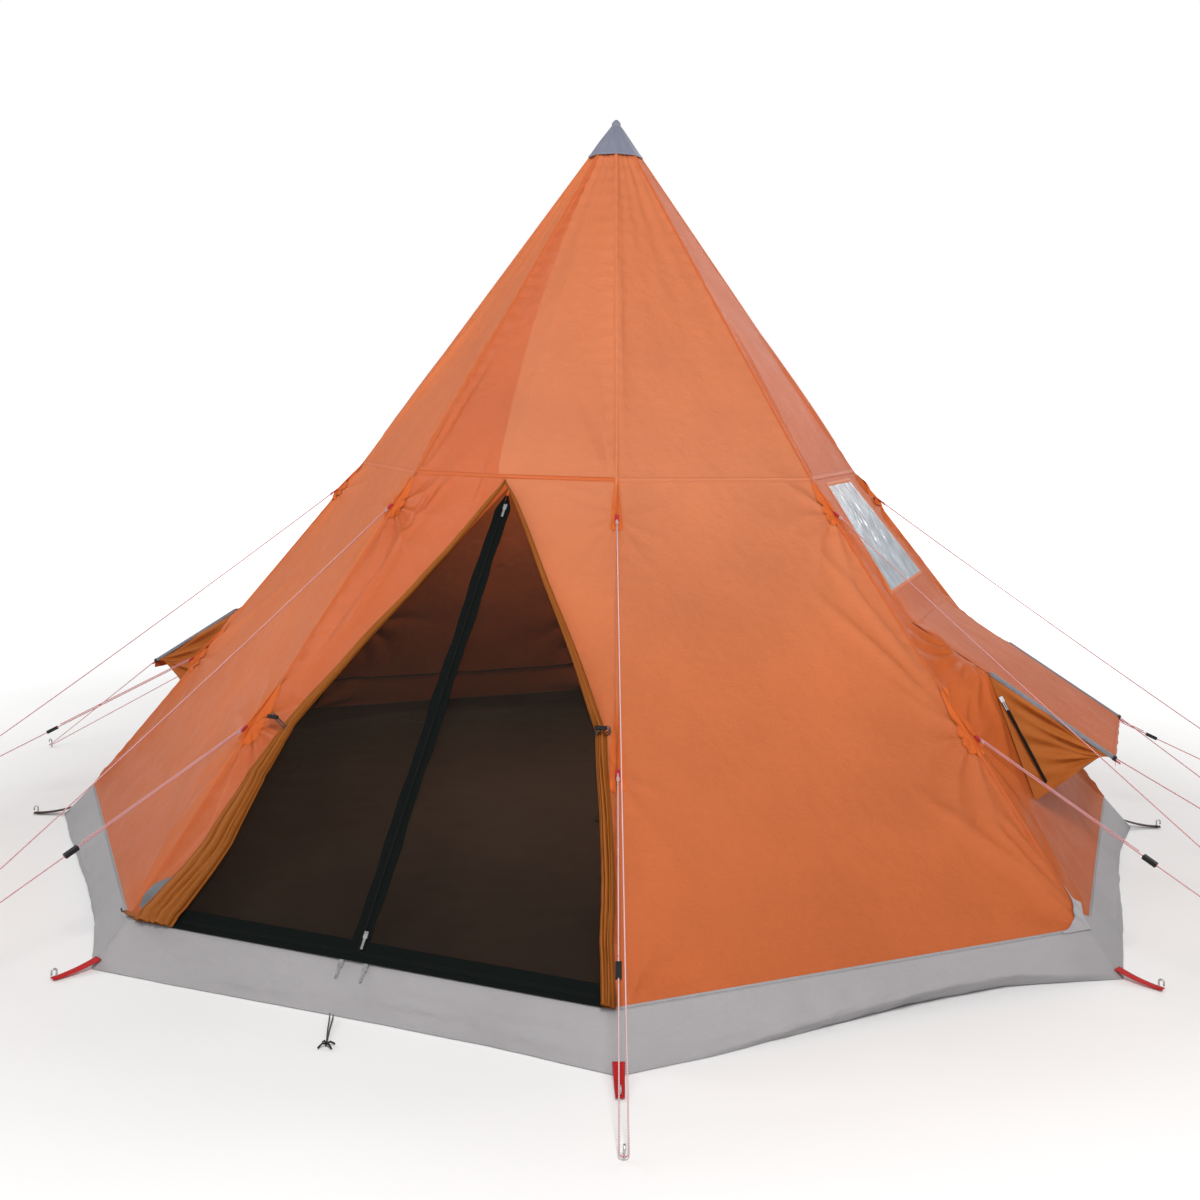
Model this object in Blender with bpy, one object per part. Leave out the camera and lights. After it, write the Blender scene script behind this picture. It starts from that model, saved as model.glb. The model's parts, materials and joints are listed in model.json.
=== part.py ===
"""Teepee tent: an eight-sided pyramid of canopy panels on a bathtub groundsheet, held up by one
centre pole and eight pairs of guy lines. Metres, +Z up, origin on the ground under the pole.
The door faces -Y. The fabric is drawn 2 mm thick, and sewn neighbours keep a small gap."""

import math

import bmesh
import bpy
from mathutils import Matrix, Vector

# ---------------------------------------------------------------- driving dimensions
SIDES = 8
ACROSS_FLATS = 3.67
HALF_TURN = math.pi / SIDES
CORNER_RADIUS = ACROSS_FLATS / 2 / math.cos(HALF_TURN)
TENT_HEIGHT = 2.594
FABRIC = 0.002
GAP = 0.0005
# a panel stops this far from the ridge line, so that two mitred panels stay clear
RIDGE_CLEARANCE = 0.0012

# groundsheet tub: a floor with low walls that lean in
TUB_FLOOR = 0.003
TUB_TOP_Z = 0.115
TUB_TOP_RADIUS = 1.880
PANEL_FOOT_Z = TUB_TOP_Z + 0.002
STRAP_LENGTH = 0.145
STRAP_WIDTH = 0.032
STRAP_THICKNESS = 0.003
STRAP_OVERLAP = 0.030

# canopy: flared lower walls up to a seam, a steeper pyramid above it
SEAM_Z = 1.320
SEAM_RADIUS = 0.905
CANOPY_APEX_Z = 2.588
PANEL_TOP_Z = 2.470
CAP_BASE_Z = 2.455

# centre pole
POLE_SECTIONS = 4
POLE_RADIUS = 0.011
POLE_BORE = 0.0095
SPIGOT_RADIUS = 0.0092
SPIGOT_BORE = 0.0078
SPIGOT_LENGTH = 0.060
POLE_TOP_Z = 2.562
# the tube's wall thickens this far below a joint, and the taper under it is as long again
JOINT_DEPTH = 0.010
POLE_CROWN = 0.008
CROWN_WALL = 0.004
CROWN_EDGE = 0.002
CROWN_FLAT_RADIUS = 0.0077
FOOT_RADIUS = 0.032
FOOT_HEIGHT = 0.034
FOOT_SOLE = 0.009
FOOT_RIM = 0.006
FOOT_NECK_Z = 0.012
FOOT_NECK_WALL = 0.005
FOOT_LIP_WALL = 0.004

# door opening in the front panel, as (x, z): the tied-back flaps pull the edges out at the kinks
DOOR_TOP_Z = 1.300
DOOR_KINK_LEFT = (-0.450, 0.600)
DOOR_FOOT_LEFT = (-0.570, 0.118)
DOOR_KINK_RIGHT = (0.500, 0.660)
DOOR_FOOT_RIGHT = (0.685, 0.118)
LEAF_TOP_Z = 1.262
LEAF_FOOT_Z = 0.130
LEAF_FOOT_INSET = 0.015
LEAF_SPLIT = 0.002
BORDER_GAP = 0.004

# tied-back outer door flaps: width and depth of the roll at its top and at its foot
ROLL_TOP_SIZE = (0.022, 0.014)
ROLL_LEFT_FOOT_SIZE = (0.120, 0.040)
ROLL_RIGHT_FOOT_SIZE = (0.034, 0.040)
ROLL_LEFT_LEAN = 0.004
ROLL_RIGHT_LEAN = 0.002
ROLL_START = (0.060, 0.070)
ROLL_FOOT_RISE = 0.012
ROLL_OFF_WALL = 0.002
ROLL_STATIONS = 5
ROLL_SEGMENTS = 12
TOGGLE_RADIUS = 0.006
TOGGLE_LENGTH = 0.034
TOGGLE_ROUNDING = 0.002
TOGGLE_LEFT_OFFSET = (-0.035, 0.045)
TOGGLE_RIGHT_OFFSET = (0.016, 0.044)

# zip sliders
SLIDER_WIDTH = 0.012
SLIDER_LENGTH = 0.018
SLIDER_DEPTH = 0.005
PULL_LENGTH = 0.032
PULL_WIDTH = 0.007
PULL_DEPTH = 0.002
PULL_OVERLAP = 0.004
SLIDER_PROUD = 0.0006
ZIP_TOP_Z = 1.225
ZIP_BOTTOM_Z = 0.165
HEM_SLIDER_X = 0.036
HEM_SLIDER_Z = 0.102

# window of clear film in the right panel, as half widths and heights
WINDOW_TOP = (0.190, 1.300)
WINDOW_FOOT = (0.310, 0.965)

# vent hoods on the left and right panels
HOOD_HALF_WIDTH = 0.320
HOOD_HINGE_Z = 0.880
HOOD_TIP_X = 1.785
HOOD_TIP_Z = 0.505
TRIM_START = 0.40
TRIM_WIDTH = 0.018
TRIM_DEPTH = 0.012
TRIM_OVERHANG = 0.004
CHEEK_TOP_Z = 0.850
CHEEK_TIP_X = 1.745
CHEEK_TIP_Z = 0.505
CHEEK_FOOT_Z = 0.350
CHEEK_OFFSET = 0.0045
CHEEK_CLEARANCE = 0.004
VENT_HALF_WIDTH = 0.250
VENT_HOLE_TOP_Z = 0.800
VENT_HOLE_FOOT_Z = 0.420
VENT_ZIP_TOP = (1.452, 0.655)
VENT_ZIP_FOOT = (1.590, 0.410)

# guy lines, one pair for each corner: tab points on the ridge as (radius, z)
UPPER_TAB = (1.012, 1.210)
LOWER_TAB = (1.530, 0.580)
CORD_RADIUS = 0.00175
CORD_TURN = 0.010
CORD_PEG_Z = 0.012
UPPER_LINE_SAG = 0.006
TENSIONER_FROM_TAB = 0.57
TENSIONER_SIZE = (0.040, 0.015, 0.012)
TENSIONER_HOLE = 0.0034
PEG_RADIUS = 0.003
PEG_HEIGHT = 0.034
PEG_HOOK = 0.014
PEG_CLEARANCE = 0.0002
PEG_HOOK_END = 0.005
PEG_HOOK_STEPS = 6
VENT_PEG_X = 2.60
VENT_CORD_REACH = (0.008, -0.004)

# the doorstep's elastic, as (x, distance out from the tub's foot, z)
TIE_RADIUS = 0.002
TIE_ROUTE = [
    (0.000, 0.004, 0.0120),
    (0.012, 0.030, 0.0100),
    (0.030, 0.070, 0.0060),
    (0.050, 0.110, 0.0040),
    (0.065, 0.140, 0.0035),
]

# each corner's number, counted anticlockwise from the door's right, and its peg's radius
CORNERS = {
    "front_right": (0, 2.34),
    "right_front": (1, 2.78),
    "right_back": (2, 2.80),
    "back_right": (3, 2.25),
    "back_left": (4, 2.25),
    "left_back": (5, 2.25),
    "left_front": (6, 2.60),
    "front_left": (7, 2.70),
}

# ---------------------------------------------------------------- colours
COLOURS = {
    "canopy_orange": ((0.62, 0.16, 0.055), 0.55, 0.0),
    "tub_grey": ((0.36, 0.34, 0.35), 0.60, 0.0),
    "cap_slate": ((0.16, 0.17, 0.22), 0.55, 0.0),
    "pole_steel": ((0.45, 0.45, 0.46), 0.35, 1.0),
    "foot_rubber": ((0.02, 0.02, 0.02), 0.80, 0.0),
    "door_mesh": ((0.02, 0.018, 0.016), 0.85, 0.0),
    "zip_metal": ((0.60, 0.60, 0.62), 0.25, 1.0),
    "black_plastic": ((0.015, 0.015, 0.015), 0.45, 0.0),
    "window_film": ((0.55, 0.62, 0.66), 0.10, 0.0),
    "guy_cord": ((0.62, 0.20, 0.25), 0.70, 0.0),
    "peg_steel": ((0.50, 0.50, 0.52), 0.35, 1.0),
    "elastic_black": ((0.02, 0.02, 0.02), 0.75, 0.0),
}


def clear_scene():
    for obj in list(bpy.data.objects):
        bpy.data.objects.remove(obj, do_unlink=True)


def material(name):
    found = bpy.data.materials.get(name)
    if found:
        return found
    colour, roughness, metallic = COLOURS[name]
    made = bpy.data.materials.new(name)
    made.use_nodes = True
    shader = made.node_tree.nodes["Principled BSDF"]
    shader.inputs["Base Color"].default_value = (*colour, 1.0)
    shader.inputs["Roughness"].default_value = roughness
    shader.inputs["Metallic"].default_value = metallic
    return made


# ---------------------------------------------------------------- mesh helpers
def object_from_bmesh(name, mesh_in, slot, origin=Vector()):
    """A named object whose origin is at the given world point, from a bmesh in world coordinates."""
    bmesh.ops.translate(mesh_in, verts=mesh_in.verts, vec=-origin)
    bmesh.ops.recalc_face_normals(mesh_in, faces=mesh_in.faces)
    data = bpy.data.meshes.new(name)
    mesh_in.to_mesh(data)
    mesh_in.free()
    obj = bpy.data.objects.new(name, data)
    obj.location = origin
    bpy.context.collection.objects.link(obj)
    data.materials.append(material(slot))
    return obj


def sheet(name, polygons, slot, outward, origin=Vector()):
    """A sewn sheet: polygons that share corners, thickened away from the outward side."""
    mesh_in = bmesh.new()
    made = {}

    def vertex(point):
        key = tuple(round(value, 5) for value in point)
        if key not in made:
            made[key] = mesh_in.verts.new(Vector(point) - origin)
        return made[key]

    for polygon in polygons:
        mesh_in.faces.new([vertex(point) for point in polygon])
    bmesh.ops.recalc_face_normals(mesh_in, faces=mesh_in.faces)
    mesh_in.faces.ensure_lookup_table()
    if mesh_in.faces[0].normal.dot(outward) < 0:
        bmesh.ops.reverse_faces(mesh_in, faces=mesh_in.faces)
    data = bpy.data.meshes.new(name)
    mesh_in.to_mesh(data)
    mesh_in.free()
    obj = bpy.data.objects.new(name, data)
    obj.location = origin
    bpy.context.collection.objects.link(obj)
    data.materials.append(material(slot))
    solidify = obj.modifiers.new("fabric", "SOLIDIFY")
    solidify.thickness = FABRIC
    solidify.offset = -1.0
    solidify.use_even_offset = True
    return obj


def box_mesh(size, place):
    mesh_in = bmesh.new()
    bmesh.ops.create_cube(mesh_in, size=1.0)
    bmesh.ops.transform(mesh_in, verts=mesh_in.verts, matrix=place @ Matrix.Diagonal((*size, 1.0)))
    return mesh_in


def turned(name, profile, slot, segments=16):
    """A solid of revolution about the Z axis from a closed loop of (radius, z) points."""
    mesh_in = bmesh.new()
    rings = []
    for radius, z in profile:
        if radius == 0:
            rings.append([mesh_in.verts.new((0, 0, z))])
            continue
        angles = (2 * math.pi * i / segments for i in range(segments))
        rings.append([mesh_in.verts.new((radius * math.cos(a), radius * math.sin(a), z)) for a in angles])
    for ring, following in zip(rings, rings[1:] + rings[:1]):
        if len(ring) == len(following) == 1:
            continue
        for i in range(segments):
            j = (i + 1) % segments
            corners = [ring[i % len(ring)], ring[j % len(ring)]]
            corners += [following[j % len(following)], following[i % len(following)]]
            mesh_in.faces.new(list(dict.fromkeys(corners)))
    obj = object_from_bmesh(name, mesh_in, slot)
    obj.data.shade_smooth()
    obj.data.set_sharp_from_angle(angle=math.radians(35))
    return obj


def hidden(obj):
    """Marks a cutter or a union part, which the object it belongs to takes up."""
    obj.hide_render = True
    obj.display_type = "WIRE"
    return obj


def combine(target, tool, operation):
    boolean = target.modifiers.new(operation.lower(), "BOOLEAN")
    boolean.operation = operation
    boolean.solver = "EXACT"
    boolean.object = hidden(tool)


def tube(name, points, radius, slot, resolution=2):
    """A capped tube along a list of points."""
    curve = bpy.data.curves.new(name, "CURVE")
    curve.dimensions = "3D"
    curve.bevel_depth = radius
    curve.bevel_resolution = resolution
    curve.use_fill_caps = True
    spline = curve.splines.new("POLY")
    spline.points.add(len(points) - 1)
    for place, point in zip(spline.points, points):
        place.co = (*point, 1.0)
    obj = bpy.data.objects.new(name, curve)
    bpy.context.collection.objects.link(obj)
    curve.materials.append(material(slot))
    return obj


# ---------------------------------------------------------------- the pyramid's surface
def ridge_radius(z):
    """Distance from the pole to a ridge line at height z."""
    if z <= TUB_TOP_Z:
        return CORNER_RADIUS + (TUB_TOP_RADIUS - CORNER_RADIUS) * z / TUB_TOP_Z
    if z <= SEAM_Z:
        part = (z - TUB_TOP_Z) / (SEAM_Z - TUB_TOP_Z)
        return TUB_TOP_RADIUS + (SEAM_RADIUS - TUB_TOP_RADIUS) * part
    return SEAM_RADIUS * (CANOPY_APEX_Z - z) / (CANOPY_APEX_Z - SEAM_Z)


def corner_angle(number):
    return -math.pi / 2 + HALF_TURN * (2 * number + 1)


def corner_point(number, radius, z):
    angle = corner_angle(number)
    return Vector((radius * math.cos(angle), radius * math.sin(angle), z))


def side_axes(side):
    """The outward and the sideways direction of a side; side 0 holds the door."""
    angle = -math.pi / 2 + 2 * HALF_TURN * side
    out = Vector((math.cos(angle), math.sin(angle), 0))
    return out, Vector((-out.y, out.x, 0))


def on_side(side, along, z):
    """The point on a side's outer face at a sideways distance and a height."""
    out, across = side_axes(side)
    return out * ridge_radius(z) * math.cos(HALF_TURN) + across * along + Vector((0, 0, z))


def side_normal(side, z):
    """The outward normal of a side at height z."""
    low = on_side(side, 0, z - 0.01)
    rise = on_side(side, 0, z + 0.01) - low
    return side_axes(side)[1].cross(rise).normalized()


def half_side(z):
    return ridge_radius(z) * math.sin(HALF_TURN) - RIDGE_CLEARANCE


def on_door(x, z):
    return on_side(0, x, z)


# ---------------------------------------------------------------- groundsheet
def build_tub():
    """The floor, its leaning walls and the pegging strap sewn to each corner, as one piece."""
    lean = math.hypot(CORNER_RADIUS - TUB_TOP_RADIUS, TUB_TOP_Z) / TUB_TOP_Z
    wall = FABRIC * lean / math.cos(HALF_TURN)
    inner_foot = ridge_radius(TUB_FLOOR) - wall
    levels = [
        (CORNER_RADIUS, 0.0),
        (TUB_TOP_RADIUS, TUB_TOP_Z),
        (TUB_TOP_RADIUS - wall, TUB_TOP_Z),
        (inner_foot, TUB_FLOOR),
    ]
    mesh_in = bmesh.new()
    loops = [[mesh_in.verts.new(corner_point(n, r, z)) for n in range(SIDES)] for r, z in levels]
    for lower, upper in zip(loops, loops[1:]):
        for n in range(SIDES):
            following = (n + 1) % SIDES
            mesh_in.faces.new((lower[n], lower[following], upper[following], upper[n]))
    mesh_in.faces.new(loops[0])
    mesh_in.faces.new(loops[-1])
    tub = object_from_bmesh("groundsheet_tub", mesh_in, "tub_grey")
    length = STRAP_LENGTH + STRAP_OVERLAP
    middle = CORNER_RADIUS + STRAP_LENGTH - length / 2
    for name, (number, _) in CORNERS.items():
        place = Matrix.Translation(corner_point(number, middle, STRAP_THICKNESS / 2 + GAP))
        place = place @ Matrix.Rotation(corner_angle(number), 4, "Z")
        strap_mesh = box_mesh((length, STRAP_WIDTH, STRAP_THICKNESS), place)
        combine(tub, object_from_bmesh(f"strap_{name}", strap_mesh, "tub_grey"), "UNION")


# ---------------------------------------------------------------- canopy
def side_polygons(side, left=half_side, right=half_side):
    """The lower and the upper face of one side, between its two ridges."""
    rows = [(-left(z), right(z), z) for z in (PANEL_FOOT_Z, SEAM_Z, PANEL_TOP_Z)]
    corners = [(on_side(side, low, z), on_side(side, high, z)) for low, high, z in rows]
    return [(a[0], a[1], b[1], b[0]) for a, b in zip(corners, corners[1:])]


def build_front_wall():
    """The door side: a strip of wall down each edge, and the whole upper triangle."""
    foot = PANEL_FOOT_Z
    top = on_door(0, DOOR_TOP_Z)
    seam_middle = on_door(0, SEAM_Z)
    polygons = []
    for sign, kink, low in ((-1, DOOR_KINK_LEFT, DOOR_FOOT_LEFT), (1, DOOR_KINK_RIGHT, DOOR_FOOT_RIGHT)):
        ridge_foot = on_door(sign * half_side(foot), foot)
        ridge_seam = on_door(sign * half_side(SEAM_Z), SEAM_Z)
        polygons.append((ridge_foot, on_door(low[0], foot), on_door(*kink), ridge_seam))
        polygons.append((ridge_seam, on_door(*kink), top, seam_middle))
    upper_z = PANEL_TOP_Z
    upper = [on_door(half_side(SEAM_Z), SEAM_Z), on_door(half_side(upper_z), upper_z)]
    upper += [on_door(-half_side(upper_z), upper_z), on_door(-half_side(SEAM_Z), SEAM_Z), seam_middle]
    polygons.append(upper)
    sheet("wall_front", polygons, "canopy_orange", side_normal(0, 1.0))


def wall_cutter(name, side, outline):
    """A prism through a side's lower wall, from an outline of (along, z) points."""
    normal = side_normal(side, 1.0) * 0.02
    mesh_in = bmesh.new()
    front = [mesh_in.verts.new(on_side(side, along, z) + normal) for along, z in outline]
    back = [mesh_in.verts.new(on_side(side, along, z) - normal) for along, z in outline]
    mesh_in.faces.new(front)
    mesh_in.faces.new(back[::-1])
    for i in range(len(outline)):
        j = (i + 1) % len(outline)
        mesh_in.faces.new((front[i], back[i], back[j], front[j]))
    return object_from_bmesh(name, mesh_in, "canopy_orange")


def trapezoid(top, foot, clearance=0.0):
    """Corners of a symmetric opening, from its (half width, z) at the top and the foot."""
    high = (top[0] + clearance, top[1] + clearance)
    low = (foot[0] + clearance, foot[1] - clearance)
    return [(-low[0], low[1]), low, high, (-high[0], high[1])]


def build_walls():
    build_front_wall()
    for name, side in (("wall_front_right", 1), ("wall_front_left", 7)):
        sheet(name, side_polygons(side), "canopy_orange", side_normal(side, 1.0))
    vent = trapezoid((VENT_HALF_WIDTH, VENT_HOLE_TOP_Z), (VENT_HALF_WIDTH, VENT_HOLE_FOOT_Z))
    for name, side in (("wall_right", 2), ("wall_left", 6)):
        wall = sheet(name, side_polygons(side), "canopy_orange", side_normal(side, 1.0))
        combine(wall, wall_cutter(f"{name}_vent_cutter", side, vent), "DIFFERENCE")
        if name == "wall_right":
            window = trapezoid(WINDOW_TOP, WINDOW_FOOT, GAP)
            combine(wall, wall_cutter("window_cutter", side, window), "DIFFERENCE")

    def to_ridge(z):
        return ridge_radius(z) * math.sin(HALF_TURN)

    back = side_polygons(3, right=to_ridge) + side_polygons(4, to_ridge, to_ridge)
    back += side_polygons(5, left=to_ridge)
    sheet("wall_back", back, "canopy_orange", side_normal(3, 1.0))


def build_window():
    corners = [on_side(2, along, z) for along, z in trapezoid(WINDOW_TOP, WINDOW_FOOT)]
    sheet("window_pane", [corners], "window_film", side_normal(2, 1.0))


def build_cone_cap():
    slope = SEAM_RADIUS / (CANOPY_APEX_Z - SEAM_Z)
    tip = Vector((0, 0, TENT_HEIGHT))
    radius = (TENT_HEIGHT - CAP_BASE_Z) * slope
    base = [corner_point(n, radius, CAP_BASE_Z) for n in range(SIDES)]
    faces = [(base[n], base[(n + 1) % SIDES], tip) for n in range(SIDES)]
    outward = (base[0] + base[1]).normalized()
    sheet("cone_cap", faces, "cap_slate", outward)


# ---------------------------------------------------------------- centre pole
def build_pole():
    floor_z = TUB_FLOOR + GAP
    sole_z = floor_z + FOOT_SOLE
    foot = [(0, floor_z), (FOOT_RADIUS, floor_z), (FOOT_RADIUS, floor_z + FOOT_RIM)]
    foot += [(POLE_RADIUS + FOOT_NECK_WALL, floor_z + FOOT_NECK_Z)]
    foot += [(POLE_RADIUS + FOOT_LIP_WALL, floor_z + FOOT_HEIGHT)]
    foot += [(POLE_RADIUS + GAP, floor_z + FOOT_HEIGHT), (POLE_RADIUS + GAP, sole_z), (0, sole_z)]
    turned("pole_foot", foot, "foot_rubber", 24)
    start = sole_z + GAP
    step = (POLE_TOP_Z - start) / POLE_SECTIONS
    for number in range(POLE_SECTIONS):
        low = start + number * step
        high = low + step - GAP
        if number < POLE_SECTIONS - 1:
            profile = [(POLE_RADIUS, low), (POLE_RADIUS, high), (SPIGOT_RADIUS, high)]
            profile += [(SPIGOT_RADIUS, high + SPIGOT_LENGTH), (SPIGOT_BORE, high + SPIGOT_LENGTH)]
            profile += [(SPIGOT_BORE, high - JOINT_DEPTH), (POLE_BORE, high - 2 * JOINT_DEPTH)]
            profile.append((POLE_BORE, low))
        else:
            profile = [(POLE_RADIUS, low), (POLE_RADIUS, high - POLE_CROWN)]
            profile += [(CROWN_FLAT_RADIUS, high - CROWN_EDGE), (0, high), (0, high - CROWN_WALL)]
            profile += [(POLE_BORE, high - POLE_CROWN - CROWN_WALL), (POLE_BORE, low)]
        turned(f"pole_section_{number + 1}", profile, "pole_steel")


# ---------------------------------------------------------------- door
def door_hinge(sign):
    """The top and the foot of a mesh leaf's sewn edge, as (x, z)."""
    foot = DOOR_FOOT_LEFT if sign < 0 else DOOR_FOOT_RIGHT
    return (sign * LEAF_SPLIT * 2, LEAF_TOP_Z), (foot[0] - sign * LEAF_FOOT_INSET, LEAF_FOOT_Z)


def build_door_leaf(name, sign):
    """One half of the insect-mesh door, with its origin at the foot of its sewn edge."""
    top, foot = door_hinge(sign)
    corners = [on_door(*foot), on_door(sign * LEAF_SPLIT, LEAF_FOOT_Z)]
    corners += [on_door(sign * LEAF_SPLIT, LEAF_TOP_Z), on_door(*top)]
    sheet(name, [corners], "door_mesh", side_normal(0, 1.0), origin=on_door(*foot))


def build_door_border():
    """The fixed strip of mesh between the door opening's edge and the two leaves."""
    edge = BORDER_GAP
    polygons = []
    for sign, kink, low in ((-1, DOOR_KINK_LEFT, DOOR_FOOT_LEFT), (1, DOOR_KINK_RIGHT, DOOR_FOOT_RIGHT)):
        top, foot = door_hinge(sign)
        outer_top = (0, DOOR_TOP_Z - 2 * edge)
        outer_kink = (kink[0] - sign * edge, kink[1])
        outer_foot = (low[0] - sign * 2 * edge, LEAF_FOOT_Z)
        share = (LEAF_TOP_Z - kink[1]) / (LEAF_TOP_Z - LEAF_FOOT_Z)
        inner_kink = (top[0] + (foot[0] - top[0]) * share + sign * edge, kink[1])
        inner_foot = (foot[0] + sign * edge, LEAF_FOOT_Z)
        inner_top = (0, LEAF_TOP_Z + 4 * edge)
        upper = [outer_top, outer_kink, inner_kink, inner_top]
        lower = [outer_kink, outer_foot, inner_foot, inner_kink]
        polygons += [[on_door(*p) for p in upper], [on_door(*p) for p in lower]]
    sheet("door_mesh_border", polygons, "door_mesh", side_normal(0, 1.0))


def zip_slider(name, place, up, outward):
    """A zip slider lying on a surface at a point: the body, with its pull hanging down from it."""
    side = up.cross(outward).normalized()
    frame = Matrix((up, side, outward)).transposed().to_4x4()
    centre = place + outward * (SLIDER_PROUD + SLIDER_DEPTH / 2)
    size = (SLIDER_LENGTH, SLIDER_WIDTH, SLIDER_DEPTH)
    slider_mesh = box_mesh(size, Matrix.Translation(centre) @ frame)
    slider = object_from_bmesh(name, slider_mesh, "zip_metal", place)
    centre = place + outward * (SLIDER_PROUD + SLIDER_DEPTH - PULL_DEPTH / 2 - GAP)
    centre -= up * (SLIDER_LENGTH / 2 + PULL_LENGTH / 2 - PULL_OVERLAP)
    pull_mesh = box_mesh((PULL_LENGTH, PULL_WIDTH, PULL_DEPTH), Matrix.Translation(centre) @ frame)
    combine(slider, object_from_bmesh(f"{name}_pull", pull_mesh, "zip_metal", place), "UNION")


def build_door_sliders():
    """Two sliders on the upright zip, held by the right leaf, and one on each half of the hem zip."""
    x = LEAF_SPLIT + SLIDER_WIDTH / 2 + GAP
    zips = [("door_zip_slider_top", x, ZIP_TOP_Z), ("door_zip_slider_bottom", x, ZIP_BOTTOM_Z)]
    zips += [("hem_zip_slider_left", -HEM_SLIDER_X, HEM_SLIDER_Z)]
    zips += [("hem_zip_slider_right", HEM_SLIDER_X, HEM_SLIDER_Z)]
    for name, along, z in zips:
        up = (on_door(0, z) - on_door(0, z - 0.01)).normalized()
        zip_slider(name, on_door(along, z), up, side_normal(0, z - 0.01))


def flap_stations(sign, kink, low):
    """Points of a roll's inner edge, as (x, z), from the door's top past the kink to its foot."""
    top = (ROLL_START[0] * sign, DOOR_TOP_Z - ROLL_START[1])
    points = []
    for (x0, z0), (x1, z1) in ((top, kink), (kink, low)):
        shares = [i / ROLL_STATIONS for i in range(ROLL_STATIONS)]
        points += [(x0 + (x1 - x0) * share, z0 + (z1 - z0) * share) for share in shares]
    return points + [(low[0], low[1] + ROLL_FOOT_RISE)]


def build_flap_roll(name, sign, kink, low, foot_size, lean):
    """A tied-back outer door flap: a flattened roll on the wall, along the opening's edge."""
    normal = side_normal(0, 1.0)
    points = flap_stations(sign, kink, low)
    mesh_in = bmesh.new()
    rings = []
    for index, (x, z) in enumerate(points):
        share = index / (len(points) - 1)
        width = ROLL_TOP_SIZE[0] + (foot_size[0] - ROLL_TOP_SIZE[0]) * share
        depth = ROLL_TOP_SIZE[1] + (foot_size[1] - ROLL_TOP_SIZE[1]) * share
        centre = on_door(x + sign * (width / 2 + lean), z) + normal * (depth / 2 + ROLL_OFF_WALL)
        ring = []
        for step in range(ROLL_SEGMENTS):
            angle = 2 * math.pi * step / ROLL_SEGMENTS
            offset = Vector((math.cos(angle) * width / 2, 0, 0)) + normal * (math.sin(angle) * depth / 2)
            ring.append(mesh_in.verts.new(centre + offset))
        rings.append(ring)
    for ring, following in zip(rings, rings[1:]):
        for i in range(ROLL_SEGMENTS):
            j = (i + 1) % ROLL_SEGMENTS
            mesh_in.faces.new((ring[i], ring[j], following[j], following[i]))
    mesh_in.faces.new(rings[0])
    mesh_in.faces.new(rings[-1])
    obj = object_from_bmesh(name, mesh_in, "canopy_orange")
    obj.data.shade_smooth()


def build_toggle(name, kink, offset):
    """A small black toggle that ties a rolled flap; the offset is sideways and off the wall."""
    normal = side_normal(0, 1.0)
    sideways = Vector((1, 0, 0))
    centre = on_door(kink[0] + offset[0], kink[1]) + normal * offset[1]
    frame = Matrix((sideways, sideways.cross(normal), normal)).transposed().to_4x4()
    mesh_in = bmesh.new()
    bmesh.ops.create_cone(
        mesh_in, segments=12, radius1=TOGGLE_RADIUS, radius2=TOGGLE_RADIUS, depth=TOGGLE_LENGTH,
        cap_ends=True, matrix=Matrix.Translation(centre) @ frame @ Matrix.Rotation(math.pi / 2, 4, "Y"),
    )
    obj = object_from_bmesh(name, mesh_in, "black_plastic", centre)
    bevel = obj.modifiers.new("round", "BEVEL")
    bevel.width = TOGGLE_ROUNDING
    bevel.segments = 1


def build_door():
    build_door_leaf("door_mesh_left", -1)
    build_door_leaf("door_mesh_right", 1)
    build_door_border()
    build_door_sliders()
    left, right = (DOOR_KINK_LEFT, DOOR_FOOT_LEFT), (DOOR_KINK_RIGHT, DOOR_FOOT_RIGHT)
    build_flap_roll("door_flap_roll_left", -1, *left, ROLL_LEFT_FOOT_SIZE, ROLL_LEFT_LEAN)
    build_flap_roll("door_flap_roll_right", 1, *right, ROLL_RIGHT_FOOT_SIZE, ROLL_RIGHT_LEAN)
    build_toggle("door_toggle_left", DOOR_KINK_LEFT, TOGGLE_LEFT_OFFSET)
    build_toggle("door_toggle_right", DOOR_KINK_RIGHT, TOGGLE_RIGHT_OFFSET)


# ---------------------------------------------------------------- vents
def hood_point(sign, share, y, lift=0.0):
    """A point on a vent hood's top, from its hinge (share 0) to its tip (share 1)."""
    hinge_x = on_side(2, 0, HOOD_HINGE_Z).x + 2 * FABRIC
    x = hinge_x + (HOOD_TIP_X - hinge_x) * share
    z = HOOD_HINGE_Z + (HOOD_TIP_Z - HOOD_HINGE_Z) * share + lift
    return Vector((sign * x, y, z))


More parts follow.
